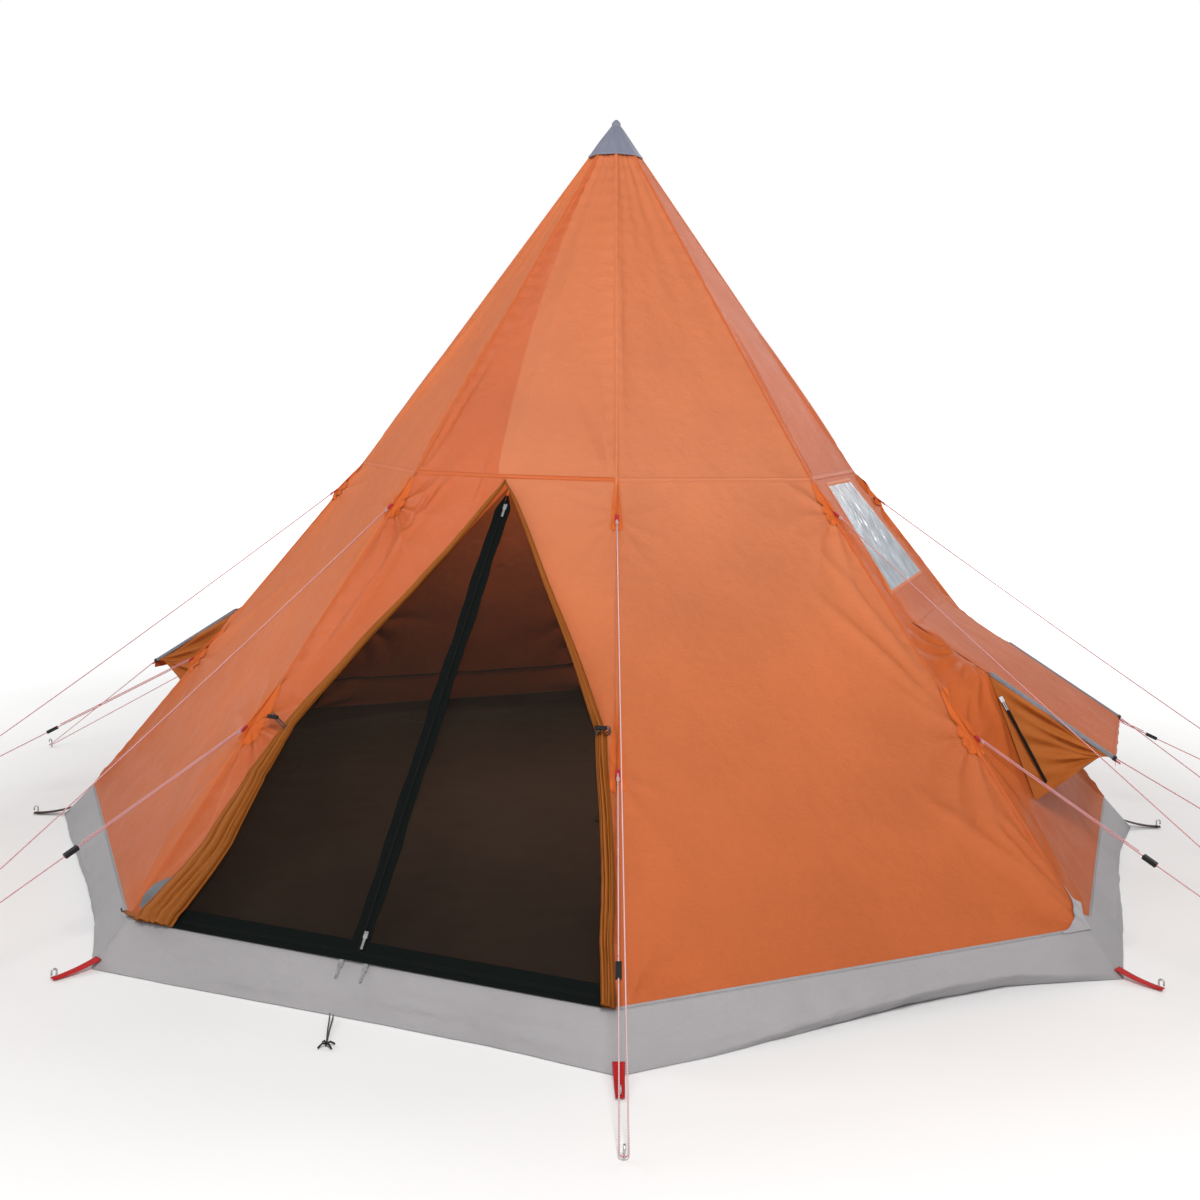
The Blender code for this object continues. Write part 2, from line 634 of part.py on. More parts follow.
def build_vent_hood(name, sign):
    """A flap of canopy fabric with a stiffened trim down each side, hinged at its upper edge."""
    half = HOOD_HALF_WIDTH - TRIM_WIDTH / 2
    origin = hood_point(sign, 0, 0)
    corners = [hood_point(sign, 0, -half), hood_point(sign, 1, -half)]
    corners += [hood_point(sign, 1, half), hood_point(sign, 0, half)]
    hood = sheet(name, [corners], "canopy_orange", Vector((0, 0, 1)), origin=origin)
    start = hood_point(sign, TRIM_START, 0)
    end = hood_point(sign, 1, 0)
    run = end - start
    along = run.normalized()
    across = Vector((0, 1, 0))
    frame = Matrix((along, across, along.cross(across))).transposed().to_4x4()
    below = Vector((0, 0, -FABRIC / 2))
    for side in (-1, 1):
        centre = (start + end) / 2 + across * side * (HOOD_HALF_WIDTH - TRIM_WIDTH / 2) + below
        size = (run.length + TRIM_OVERHANG, TRIM_WIDTH, TRIM_DEPTH)
        trim_mesh = box_mesh(size, Matrix.Translation(centre) @ frame)
        trim = object_from_bmesh(f"{name}_trim_{side}", trim_mesh, "cap_slate", origin)
        combine(hood, trim, "UNION")


def build_vent_gusset(name, sign):
    """The folding cheeks and floor under a vent hood, sewn between the hood and the wall."""
    side = 2 if sign > 0 else 6

    def wall_x(z):
        return abs(on_side(side, 0, z).x) + CHEEK_OFFSET

    half = HOOD_HALF_WIDTH + CHEEK_CLEARANCE
    profile = [(wall_x(CHEEK_TOP_Z), CHEEK_TOP_Z), (CHEEK_TIP_X, CHEEK_TIP_Z)]
    profile.append((wall_x(CHEEK_FOOT_Z), CHEEK_FOOT_Z))
    near = [Vector((sign * x, -half, z)) for x, z in profile]
    far = [Vector((sign * x, half, z)) for x, z in profile]
    polygons = [near, far, (near[1], near[2], far[2], far[1])]
    sheet(name, polygons, "canopy_orange", Vector((0, -1, 0)))


def build_vents():
    for name, sign in (("right", 1), ("left", -1)):
        build_vent_hood(f"vent_hood_{name}", sign)
        build_vent_gusset(f"vent_gusset_{name}", sign)
        start = Vector((sign * VENT_ZIP_TOP[0], 0, VENT_ZIP_TOP[1]))
        end = Vector((sign * VENT_ZIP_FOOT[0], 0, VENT_ZIP_FOOT[1]))
        start.y = -(HOOD_HALF_WIDTH + CHEEK_CLEARANCE)
        end.y = start.y
        zip_slider(f"vent_zip_slider_{name}", start, -(end - start).normalized(), Vector((0, -1, 0)))


# ---------------------------------------------------------------- guy lines
def straight(a, b, count, sag=0.0):
    """Points from a up to but not including b, hanging by sag times the span in the middle."""
    drop = (b - a).length * sag
    shares = [i / count for i in range(count)]
    return [a.lerp(b, s) - Vector((0, 0, 4 * drop * s * (1 - s))) for s in shares]


def round_peg(peg, outward, count=9):
    """A level turn round the far side of an upright peg, from its left to its right."""
    across = Vector((-outward.y, outward.x, 0))
    angles = [math.pi * i / (count - 1) for i in range(count)]
    return [peg + (across * math.cos(a) + outward * math.sin(a)) * CORD_TURN for a in angles]


def guy_runs(number, peg_radius):
    """A corner's upper tab, the cord's turn round its peg, and its lower tab."""
    peg = corner_point(number, peg_radius, CORD_PEG_Z)
    turn = round_peg(peg, corner_point(number, 1.0, 0.0))
    return corner_point(number, *UPPER_TAB), turn, corner_point(number, *LOWER_TAB)


def guy_route(number, peg_radius):
    """One corner's two ropes as one run: upper tab, round the peg, lower tab."""
    upper, turn, lower = guy_runs(number, peg_radius)
    return straight(upper, turn[0], 14, UPPER_LINE_SAG) + turn + straight(lower, turn[-1], 10)[::-1]


def build_peg(name, place, outward):
    """The part of a steel wire peg above the ground: a stub, and a hook that points outward."""
    reach = PEG_HOOK / 2
    points = [place + Vector((0, 0, PEG_CLEARANCE)), place + Vector((0, 0, PEG_HEIGHT / 2))]
    for i in range(PEG_HOOK_STEPS + 1):
        angle = math.pi * i / PEG_HOOK_STEPS
        height = PEG_HEIGHT - reach + reach * math.sin(angle)
        points.append(place + outward * reach * (1 - math.cos(angle)) + Vector((0, 0, height)))
    points.append(place + outward * PEG_HOOK + Vector((0, 0, PEG_HEIGHT - reach - PEG_HOOK_END)))
    tube(name, points, PEG_RADIUS, "peg_steel")


def build_tensioner(name, number, peg_radius):
    """A rope tensioner threaded on a corner's lower guy line."""
    _, turn, lower = guy_runs(number, peg_radius)
    along = (turn[-1] - lower).normalized()
    centre = lower + along * TENSIONER_FROM_TAB
    across = Vector((0, 0, 1)).cross(along).normalized()
    frame = Matrix((along, across, along.cross(across))).transposed().to_4x4()
    place = Matrix.Translation(centre) @ frame
    body = object_from_bmesh(name, box_mesh(TENSIONER_SIZE, place), "black_plastic", centre)
    bore_mesh = bmesh.new()
    bore = place @ Matrix.Rotation(math.pi / 2, 4, "Y")
    bmesh.ops.create_cone(
        bore_mesh, segments=12, radius1=TENSIONER_HOLE, radius2=TENSIONER_HOLE,
        depth=TENSIONER_SIZE[0] * 2, cap_ends=True, matrix=bore,
    )
    combine(body, object_from_bmesh(f"{name}_bore", bore_mesh, "black_plastic", centre), "DIFFERENCE")


def build_guy_lines():
    for name, (number, peg_radius) in CORNERS.items():
        tube(f"guy_line_{name}", guy_route(number, peg_radius), CORD_RADIUS, "guy_cord")
        outward = corner_point(number, 1.0, 0.0)
        build_peg(f"guy_peg_{name}", outward * peg_radius, outward)
        build_tensioner(f"tensioner_{name}", number, peg_radius)


def build_vent_guys():
    """Each vent hood's two corners share one rope, which runs round one peg."""
    for name, sign in (("right", 1), ("left", -1)):
        reach = Vector((sign * VENT_CORD_REACH[0], 0, VENT_CORD_REACH[1]))
        near = hood_point(sign, 1, -HOOD_HALF_WIDTH + TRIM_WIDTH / 2) + reach
        far = hood_point(sign, 1, HOOD_HALF_WIDTH - TRIM_WIDTH / 2) + reach
        outward = Vector((sign, 0, 0))
        turn = round_peg(Vector((sign * VENT_PEG_X, 0, CORD_PEG_Z)), outward)
        if sign > 0:
            turn.reverse()
        route = straight(near, turn[0], 10) + turn + straight(far, turn[-1], 10)[::-1]
        tube(f"vent_guy_line_{name}", route, CORD_RADIUS, "guy_cord")
        build_peg(f"vent_guy_peg_{name}", outward * VENT_PEG_X, outward)


def build_front_tie():
    """The short elastic that pegs the middle of the doorstep."""
    route = [Vector((x, -ACROSS_FLATS / 2 - out, z)) for x, out, z in TIE_ROUTE]
    tube("front_tie", route, TIE_RADIUS, "elastic_black")


def build():
    clear_scene()
    build_tub()
    build_walls()
    build_window()
    build_cone_cap()
    build_pole()
    build_door()
    build_vents()
    build_guy_lines()
    build_vent_guys()
    build_front_tie()


build()
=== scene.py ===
"""Teepee tent: fabric, ropes, fittings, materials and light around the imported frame. Metres, +Z up."""

import json
import math

import bmesh
import bpy
import numpy as np
from mathutils import Matrix, Vector

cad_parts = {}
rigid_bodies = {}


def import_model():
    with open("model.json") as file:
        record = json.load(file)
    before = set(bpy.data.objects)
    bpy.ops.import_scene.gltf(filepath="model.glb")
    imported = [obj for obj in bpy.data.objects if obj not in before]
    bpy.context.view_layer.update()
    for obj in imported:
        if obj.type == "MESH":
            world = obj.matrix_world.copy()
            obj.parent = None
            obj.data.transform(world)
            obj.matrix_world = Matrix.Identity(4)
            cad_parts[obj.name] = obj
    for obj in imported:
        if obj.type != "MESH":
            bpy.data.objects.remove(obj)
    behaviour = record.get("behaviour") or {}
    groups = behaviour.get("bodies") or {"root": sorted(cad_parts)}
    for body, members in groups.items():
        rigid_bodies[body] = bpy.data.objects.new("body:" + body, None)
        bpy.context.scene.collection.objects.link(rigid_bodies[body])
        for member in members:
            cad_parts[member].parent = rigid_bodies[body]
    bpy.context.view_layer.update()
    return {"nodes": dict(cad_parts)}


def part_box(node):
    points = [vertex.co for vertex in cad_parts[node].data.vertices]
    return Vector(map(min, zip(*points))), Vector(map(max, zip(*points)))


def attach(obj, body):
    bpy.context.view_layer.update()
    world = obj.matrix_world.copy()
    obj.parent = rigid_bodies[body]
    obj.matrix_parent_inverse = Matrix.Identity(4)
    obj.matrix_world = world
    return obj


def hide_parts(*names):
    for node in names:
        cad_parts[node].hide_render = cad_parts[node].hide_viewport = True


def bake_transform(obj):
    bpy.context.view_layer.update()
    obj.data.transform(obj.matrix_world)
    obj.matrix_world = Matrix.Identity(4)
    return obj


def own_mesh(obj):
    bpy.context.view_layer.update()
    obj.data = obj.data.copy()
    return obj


for leftover in list(bpy.data.objects):
    bpy.data.objects.remove(leftover)
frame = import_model()


def node_box(node):
    low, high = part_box(node)
    return Vector(low), Vector(high)


# ---------------------------------------------------------------- sizes from the frame
SIDES = 8
HALF_TURN = math.pi / SIDES
TUB_TOP_Z = node_box("groundsheet_tub")[1].z
TENT_TOP_Z = node_box("cone_cap")[1].z
CAP_FOOT_Z = node_box("cone_cap")[0].z
PANEL_FOOT_Z = node_box("wall_front")[0].z
PANEL_TOP_Z = node_box("wall_front")[1].z
VENT_PEG_X = (node_box("vent_guy_peg_right")[0].x + node_box("vent_guy_peg_right")[1].x) / 2 - 0.007

# the ridge lines: the groundsheet's corner, the tub's rim, the seam and the point under the cap
ACROSS_FLATS = 3.67
CORNER_RADIUS = ACROSS_FLATS / 2 / math.cos(HALF_TURN)
TUB_TOP_RADIUS = 1.880
SEAM_Z = 1.320
SEAM_RADIUS = 0.905
INSIDE_SEAM_Z = 0.265
INSIDE_TAPE_DEPTH = 0.0055
CANOPY_APEX_Z = 2.588

# openings: the door in the front wall, the window in the right wall, a vent in the right and left walls
DOOR_TOP_Z = 1.300
DOOR_KINK_LEFT = (-0.450, 0.600)
DOOR_FOOT_LEFT = (-0.570, 0.118)
DOOR_KINK_RIGHT = (0.500, 0.660)
DOOR_FOOT_RIGHT = (0.685, 0.118)
WINDOW_TOP = (0.190, 1.300)
WINDOW_FOOT = (0.310, 0.965)
VENT_HALF_WIDTH = 0.250
VENT_TOP_Z = 0.800
VENT_FOOT_Z = 0.420

# vent hoods
HOOD_HALF_WIDTH = 0.320
HOOD_HINGE = (1.169, 0.880)
HOOD_TIP = (1.785, 0.505)
TRIM_START = 0.40
TRIM_WIDTH = 0.018
TRIM_DEPTH = 0.012
CHEEK_TIP = (1.745, 0.505)
CHEEK_FOOT_Z = 0.350
VENT_ZIP_TOP = (1.452, 0.655)
VENT_ZIP_FOOT = (1.590, 0.410)

# guy ropes: tab points on the ridge as (radius, z), and each corner's number and peg radius
UPPER_TAB = (1.012, 1.210)
LOWER_TAB = (1.530, 0.580)
ROPE_RADIUS = 0.00175
ROPE_TURN = 0.010
ROPE_PEG_Z = 0.012
UPPER_ROPE_SAG = 0.006
CORNERS = {
    "front_right": (0, 2.34),
    "right_front": (1, 2.78),
    "right_back": (2, 2.80),
    "back_right": (3, 2.25),
    "back_left": (4, 2.25),
    "left_back": (5, 2.25),
    "left_front": (6, 2.60),
    "front_left": (7, 2.70),
}
SIDE_NAMES = ("front", "front_right", "right", "back_right", "back", "back_left", "left", "front_left")

# the photographed view: place and aim of the camera, and how far its picture is shifted
CAMERA_PLACE = Vector((1.858, -4.815, 1.543))
CAMERA_TARGET = Vector((0, 0, 1.390))
CAMERA_ROLL = math.radians(1.12)
CAMERA_LENS = 41.94
CAMERA_SHIFT = (-0.0083, -0.1267)


# ---------------------------------------------------------------- looks
class Look:
    """A material under construction: its Principled shader and the nodes that feed it."""

    def __init__(self, name, colour, roughness, **sockets):
        self.material = bpy.data.materials.new(name)
        self.material.use_nodes = True
        self.tree = self.material.node_tree
        self.shader = self.tree.nodes["Principled BSDF"]
        self.shader.inputs["Base Color"].default_value = (*colour, 1)
        self.shader.inputs["Roughness"].default_value = roughness
        for socket, value in sockets.items():
            self.shader.inputs[socket.replace("_", " ")].default_value = value

    def node(self, kind, inputs, **settings):
        made = self.tree.nodes.new("ShaderNode" + kind)
        for key, value in settings.items():
            setattr(made, key, value)
        for socket, value in inputs.items():
            if isinstance(value, bpy.types.NodeSocket):
                self.tree.links.new(value, made.inputs[socket])
            else:
                made.inputs[socket].default_value = value
        return made

    def feed(self, socket, source):
        self.tree.links.new(source, self.shader.inputs[socket])

    def place(self, stretch=(1, 1, 1), cut=False):
        """Object coordinates, or with cut the place on the flat cloth in metres, stretched."""
        if cut:
            source = self.node("UVMap", {}, uv_map="cut").outputs["UV"]
        else:
            source = self.node("TexCoord", {}).outputs["Object"]
        return self.node("Mapping", {"Vector": source, "Scale": stretch}).outputs["Vector"]

    def noise(self, place, scale, detail=3.0, roughness=0.5):
        inputs = {"Vector": place, "Scale": scale, "Detail": detail, "Roughness": roughness}
        return self.node("TexNoise", inputs).outputs["Fac"]

    def bands(self, place, pitch, direction, distortion=0.0):
        """Rounded ribs of a given pitch in metres across X or Y."""
        inputs = {"Vector": place, "Scale": math.pi / 10 / pitch, "Distortion": distortion}
        return self.node("TexWave", inputs, bands_direction=direction).outputs["Fac"]

    def maths(self, operation, a, b=0.0, c=0.0):
        return self.node("Math", {0: a, 1: b, 2: c}, operation=operation).outputs[0]

    def ramp(self, share, *stops):
        made = self.node("ValToRGB", {"Fac": share})
        elements = made.color_ramp.elements
        while len(elements) < len(stops):
            elements.new(0.5)
        for element, (place, colour) in zip(elements, stops):
            element.position = place
            element.color = (*colour, 1)
        return made.outputs["Color"]

    def by_height(self, levels):
        """A colour that changes with height, from (height in metres, colour) pairs."""
        height = self.node("SeparateXYZ", {"Vector": self.place()}).outputs["Z"]
        stops = [(level / TENT_TOP_Z, colour) for level, colour in levels]
        return self.ramp(self.spread(height, 0.0, 1.0, 0.0, TENT_TOP_Z), *stops)

    def spread(self, share, low, high, start=0.3, end=0.7):
        inputs = {"Value": share, "From Min": start, "From Max": end, "To Min": low, "To Max": high}
        return self.node("MapRange", inputs).outputs["Result"]

    def bump(self, height, distance, under=None):
        inputs = {"Height": height, "Distance": distance, "Strength": 1.0}
        if under is not None:
            inputs["Normal"] = under
        return self.node("Bump", inputs).outputs["Normal"]


def scaled(colour, factor):
    return tuple(channel * factor for channel in colour)


def cloth_look(name, colour, roughness, weave, crumple, fade=0.10, slub=0.12, levels=None, **sockets):
    """Woven cloth: a fine two-way weave, thread slubs, crumples, and uneven colour and gloss."""
    look = Look(name, colour, roughness, **sockets)
    place = look.place(cut=True)
    crosswise = look.bands(place, weave, "X")
    lengthwise = look.bands(place, weave, "Y")
    threads = look.maths("ADD", crosswise, lengthwise)
    slubs = look.noise(look.place((30, 420, 1), cut=True), 1.0, 2.0)
    broad = look.noise(look.place(), 1.7, 4.0, 0.6)
    tone = look.maths("ADD", look.maths("MULTIPLY", slubs, slub), look.maths("MULTIPLY", broad, 1 - slub))
    # with levels the colour follows height, which for the canopy's paler and darker copies carries painted
    # reflection and painted shade
    if levels:
        uneven = look.spread(tone, 1 - fade, 1 + fade)
        tint = look.node("VectorMath", {0: look.by_height(levels), "Scale": uneven}, operation="SCALE")
        look.feed("Base Color", tint.outputs["Vector"])
    else:
        stops = (0.30, scaled(colour, 1 - fade)), (0.70, scaled(colour, 1 + fade))
        look.feed("Base Color", look.ramp(tone, *stops))
    rub = look.noise(look.place(), 9.0, 5.0, 0.65)
    look.feed("Roughness", look.spread(rub, roughness - 0.07, roughness + 0.08))
    creases = look.noise(look.place((1, 1, 1.5)), 26.0, 5.0, 0.62)
    normal = look.bump(creases, crumple)
    normal = look.bump(slubs, 0.00025, normal)
    look.feed("Normal", look.bump(threads, weave * 0.16, normal))
    return look.material


def tape_look(name, colour, thread, roughness, rows, gloss=0.25, levels=None):
    """Webbing or seam tape: ribs along it and rows of stitches, at distances from its middle."""
    look = Look(name, colour, roughness, Specular_IOR_Level=gloss)
    place = look.place(cut=True)
    across = look.node("SeparateXYZ", {"Vector": place}).outputs["X"]
    ribs = look.bands(place, 0.0016, "Y")
    dashes = look.maths("GREATER_THAN", look.bands(place, 0.0042, "Y"), 0.35)
    sewn = None
    for row in rows:
        near = look.maths("LESS_THAN", look.maths("ABSOLUTE", look.maths("SUBTRACT", across, row)), 0.0007)
        dash = look.maths("MULTIPLY", near, dashes)
        sewn = dash if sewn is None else look.maths("MAXIMUM", sewn, dash)
    wear = look.noise(look.place(), 60.0, 4.0)
    # with levels the tape takes its cloth's colour by height, with the same painted reflection and painted
    # shade; without them, random wear
    if levels:
        wear_and_height_tint = look.by_height(levels)
    else:
        wear_and_height_tint = look.ramp(wear, (0.3, scaled(colour, 0.85)), (0.7, scaled(colour, 1.12)))
    mixed = look.node("MixRGB", {"Fac": sewn, "Color1": wear_and_height_tint, "Color2": (*thread, 1)})
    look.feed("Base Color", mixed.outputs["Color"])
    look.feed("Roughness", look.spread(wear, roughness - 0.08, roughness + 0.08))
    normal = look.bump(ribs, 0.0002)
    look.feed("Normal", look.bump(sewn, 0.0005, normal))
    return look.material


def net_look(name, colour, alpha):
    """Insect mesh: thin dark threads that let through what is behind."""
    look = Look(name, colour, 0.75, Alpha=alpha, Specular_IOR_Level=0.1)
    place = look.place(cut=True)
    threads = look.maths("MAXIMUM", look.bands(place, 0.0013, "X"), look.bands(place, 0.0013, "Y"))
    dust = look.noise(look.place(), 5.0, 4.0)
    look.feed("Base Color", look.ramp(dust, (0.3, scaled(colour, 0.8)), (0.75, scaled(colour, 1.5))))
    look.feed("Roughness", look.spread(dust, 0.7, 0.85))
    look.feed("Normal", look.bump(threads, 0.0002))
    return look.material


def rope_look(name, pale, fleck):
    """Braided cord: pale strands with a crossing coloured fleck, and a bump for each strand."""
    look = Look(name, pale, 0.7, Sheen_Weight=0.25)
    place = look.place(cut=True)
    parts = look.node("SeparateXYZ", {"Vector": place})
    along = look.maths("MULTIPLY", parts.outputs["Y"], 1 / 0.011)
    left = look.maths("ADD", along, parts.outputs["X"])
    right = look.maths("SUBTRACT", along, parts.outputs["X"])
    waves = [look.maths("SINE", look.maths("MULTIPLY", turn, 2 * math.pi)) for turn in (left, right)]
    strands = look.maths("MULTIPLY", waves[0], waves[1])
    flecks = look.maths("GREATER_THAN", strands, 0.10)
    mixed = look.node("MixRGB", {"Fac": flecks, "Color1": (*pale, 1), "Color2": (*fleck, 1)})
    look.feed("Base Color", mixed.outputs["Color"])
    fuzz = look.noise(look.place(), 900.0, 2.0)
    look.feed("Roughness", look.spread(fuzz, 0.6, 0.8))
    look.feed("Normal", look.bump(strands, 0.0004))
    return look.material


def moulded_look(name, colour, roughness, grain=700.0, depth=0.0001, **sockets):
    """Moulded plastic, rubber or worn metal: a fine grain, and a gloss that varies where it is rubbed."""
    look = Look(name, colour, roughness, **sockets)
    rub = look.noise(look.place(), 45.0, 5.0, 0.6)
    look.feed("Base Color", look.ramp(rub, (0.3, scaled(colour, 0.85)), (0.75, scaled(colour, 1.2))))
    look.feed("Roughness", look.spread(rub, roughness - 0.1, roughness + 0.12))
    fine = look.noise(look.place(), grain, 2.0)
    look.feed("Normal", look.bump(fine, depth))
    return look.material


def film_look():
    """Clear window film: pale, glossy and slightly clouded, with soft crinkles."""
    colour = (0.415, 0.54, 0.62)
    look = Look("window_film", colour, 0.16, Alpha=0.86, Coat_Weight=0.4)
    place = look.place((1, 1, 0.6))
    cloud = look.noise(place, 12.0, 6.0, 0.65)
    look.feed("Base Color", look.ramp(cloud, (0.35, scaled(colour, 0.84)), (0.62, scaled(colour, 1.18))))
    look.feed("Roughness", look.spread(cloud, 0.12, 0.32))
    look.feed("Normal", look.bump(look.noise(place, 30.0, 4.0, 0.6), 0.003))
    return look.material


ORANGE = (0.640, 0.165, 0.052)
GREY = (0.40, 0.385, 0.40)
# the canopy's colour at heights, darker towards the ground; the front right's paler copy carries painted
# reflection, the haze of the light on glossy cloth, and the darker copies carry painted shade
CANOPY_LEVELS = ((0.12, (0.53, 0.130, 0.040)), (0.75, (0.625, 0.158, 0.046)), (1.30, (0.640, 0.165, 0.052)))
# painted reflection: paler and hazier than the orange, most of all above the seam
PAINTED_REFLECTION_LEVELS = (
    (0.12, (0.50, 0.114, 0.029)), (0.75, (0.565, 0.148, 0.048)),
    (1.30, (0.605, 0.188, 0.080)), (2.2, (0.59, 0.166, 0.064)),
)
# painted shade: a darker, deeper copy of the orange for the shaded left of the front, the right wall and the
# hoods
PAINTED_SHADE_LEVELS = ((0.12, (0.48, 0.105, 0.024)), (0.75, (0.55, 0.115, 0.024)), (1.30, (0.555, 0.114, 0.026)))
SLATE = (0.185, 0.195, 0.26)
CRIMSON = (0.42, 0.006, 0.022)
BLACK_THREAD = (0.009, 0.011, 0.011)


def canopy_look(name, roughness, crumple, levels, gloss):
    name = f"canopy_{name}"
    return cloth_look(name, ORANGE, roughness, 0.0012, crumple, levels=levels, Specular_IOR_Level=gloss)


def seam_look(name, thread, roughness, levels):
    return tape_look(f"seam_{name}", ORANGE, thread, roughness, (-0.0045, 0.0045), levels=levels)


LOOKS = {
    "canopy": canopy_look("orange", 0.47, 0.0034, CANOPY_LEVELS, 0.20),
    # painted reflection: the pale look is the orange with the light's haze painted into it
    "pale": canopy_look("painted_reflection", 0.44, 0.0044, PAINTED_REFLECTION_LEVELS, 0.24),
    # painted shade: the side look, on the right wall and the hoods, is a darker copy of the orange
    "side": canopy_look("side", 0.47, 0.0034, PAINTED_SHADE_LEVELS, 0.16),
    # painted shade: a darker copy of the orange, left of the front's dividing line
    "deep": canopy_look("deep", 0.34, 0.0034, PAINTED_SHADE_LEVELS, 0.50),
    # the flap's brown-orange is partly the cloth's inner side rolled outward and partly painted shade of the
    # rolled folds
    "flap": cloth_look("flap_orange_painted_shade", (0.325, 0.098, 0.014), 0.50, 0.0012, 0.0030, Specular_IOR_Level=0.2),
    "wing": cloth_look("wing_orange", (0.62, 0.125, 0.020), 0.46, 0.0010, 0.0010, Specular_IOR_Level=0.2),
    # painted shade: the gusset is a darker copy of the orange for the shade under the hood
    "gusset": cloth_look("gusset_orange_painted_shade", (0.43, 0.122, 0.020), 0.48, 0.0012, 0.0022, Specular_IOR_Level=0.2),
    "tub": cloth_look(
        "tub_grey", scaled(GREY, 0.94), 0.50, 0.0016, 0.0036, fade=0.08, Specular_IOR_Level=0.33
    ),
    # painted shade: the tub's floor and its lining up the walls are a dark brown copy of the grey cloth, for
    # the shade inside the tent
    "floor": cloth_look(
        "tub_floor_painted_shade", (0.067, 0.050, 0.038), 0.6, 0.0016, 0.0022, fade=0.12, Specular_IOR_Level=0.1
    ),
    "cap": cloth_look("cap_slate", SLATE, 0.5, 0.0012, 0.0016, Sheen_Weight=0.04),
    "patch": cloth_look("patch_grey", (0.16, 0.17, 0.19), 0.5, 0.0008, 0.0004),
    "seam": seam_look("orange", (0.50, 0.13, 0.05), 0.5, CANOPY_LEVELS),
    # painted reflection: seam tape beside the pale cloth, with the same painted haze
    "seam_painted_reflection": seam_look("painted_reflection", (0.50, 0.15, 0.07), 0.5, PAINTED_REFLECTION_LEVELS),
    # painted shade: seam tape beside the darker cloth, with the same painted shade
    "seam_deep": seam_look("deep", (0.45, 0.09, 0.02), 0.45, PAINTED_SHADE_LEVELS),
    "inside": tape_look("seam_inside", (0.10, 0.03, 0.012), (0.06, 0.02, 0.01), 0.6, (-0.0065, 0.0065)),
    "trim": tape_look("trim_grey", (0.20, 0.21, 0.24), (0.30, 0.31, 0.34), 0.6, (-0.006, 0.006)),
    "band": tape_look("zip_band_black", (0.0045, 0.0065, 0.006), BLACK_THREAD, 0.75, (-0.02, 0.02), 0.05),
    "tab": tape_look("tab_crimson", CRIMSON, (0.6, 0.1, 0.1), 0.6, (-0.003, 0.003)),
    "strap_red": tape_look("strap_red", (0.50, 0.008, 0.010), (0.6, 0.1, 0.1), 0.6, (-0.012, 0.012)),
    "strap_dark": tape_look("strap_dark", (0.05, 0.02, 0.02), (0.10, 0.05, 0.05), 0.6, (-0.012, 0.012)),
    "net": net_look("door_mesh", (0.014, 0.010, 0.007), 0.60),
    "rope": rope_look("guy_cord", (0.62, 0.50, 0.50), (0.50, 0.02, 0.05)),
    "elastic": rope_look("elastic_black", (0.012, 0.012, 0.012), (0.03, 0.03, 0.03)),
    "film": film_look(),
    "plastic": moulded_look("black_plastic", (0.012, 0.012, 0.012), 0.48, Specular_IOR_Level=0.25),
    "rubber": moulded_look("foot_rubber", (0.02, 0.02, 0.02), 0.75, grain=300.0, depth=0.0003),
    "steel": moulded_look("pole_steel", (0.45, 0.45, 0.46), 0.32, Metallic=1.0),
    "peg": moulded_look("peg_steel", (0.50, 0.50, 0.52), 0.36, Metallic=1.0),
    "zip": moulded_look("zip_metal", (0.62, 0.62, 0.64), 0.26, Metallic=1.0),
    "coil": moulded_look("zip_coil", (0.008, 0.009, 0.009), 0.6, Specular_IOR_Level=0.1),
}


# ---------------------------------------------------------------- mesh helpers
def finished(name, mesh_in):
    """A mesh under a name from a working mesh, which is freed."""
    mesh = bpy.data.meshes.new(name)
    mesh_in.to_mesh(mesh)
    mesh_in.free()
    return mesh


def place_object(name, data, look):
    obj = bpy.data.objects.new(name, data)
    bpy.context.scene.collection.objects.link(obj)
    data.materials.append(LOOKS[look])
    return obj


def surface(name, points, cut, look, wrap=False):
    """A smooth grid of quads through rows of points; cut is each point's place on the flat cloth."""
    points, cut = np.asarray(points), np.asarray(cut)
    rows, columns = points.shape[:2]
    span = columns if wrap else columns - 1
    faces = []
    for row in range(rows - 1):
        for column in range(span):
            beside = (column + 1) % columns
            low, high = row * columns, (row + 1) * columns
            faces.append((low + column, low + beside, high + beside, high + column))
    mesh = bpy.data.meshes.new(name)
    mesh.from_pydata(points.reshape(-1, 3).tolist(), [], faces)
    layer = mesh.uv_layers.new(name="cut")
    corners = np.empty(len(mesh.loops), dtype=np.int32)
    mesh.loops.foreach_get("vertex_index", corners)
    layer.data.foreach_set("uv", cut.reshape(-1, 2)[corners].astype(np.float32).ravel())
    mesh.shade_smooth()
    return place_object(name, mesh, look)


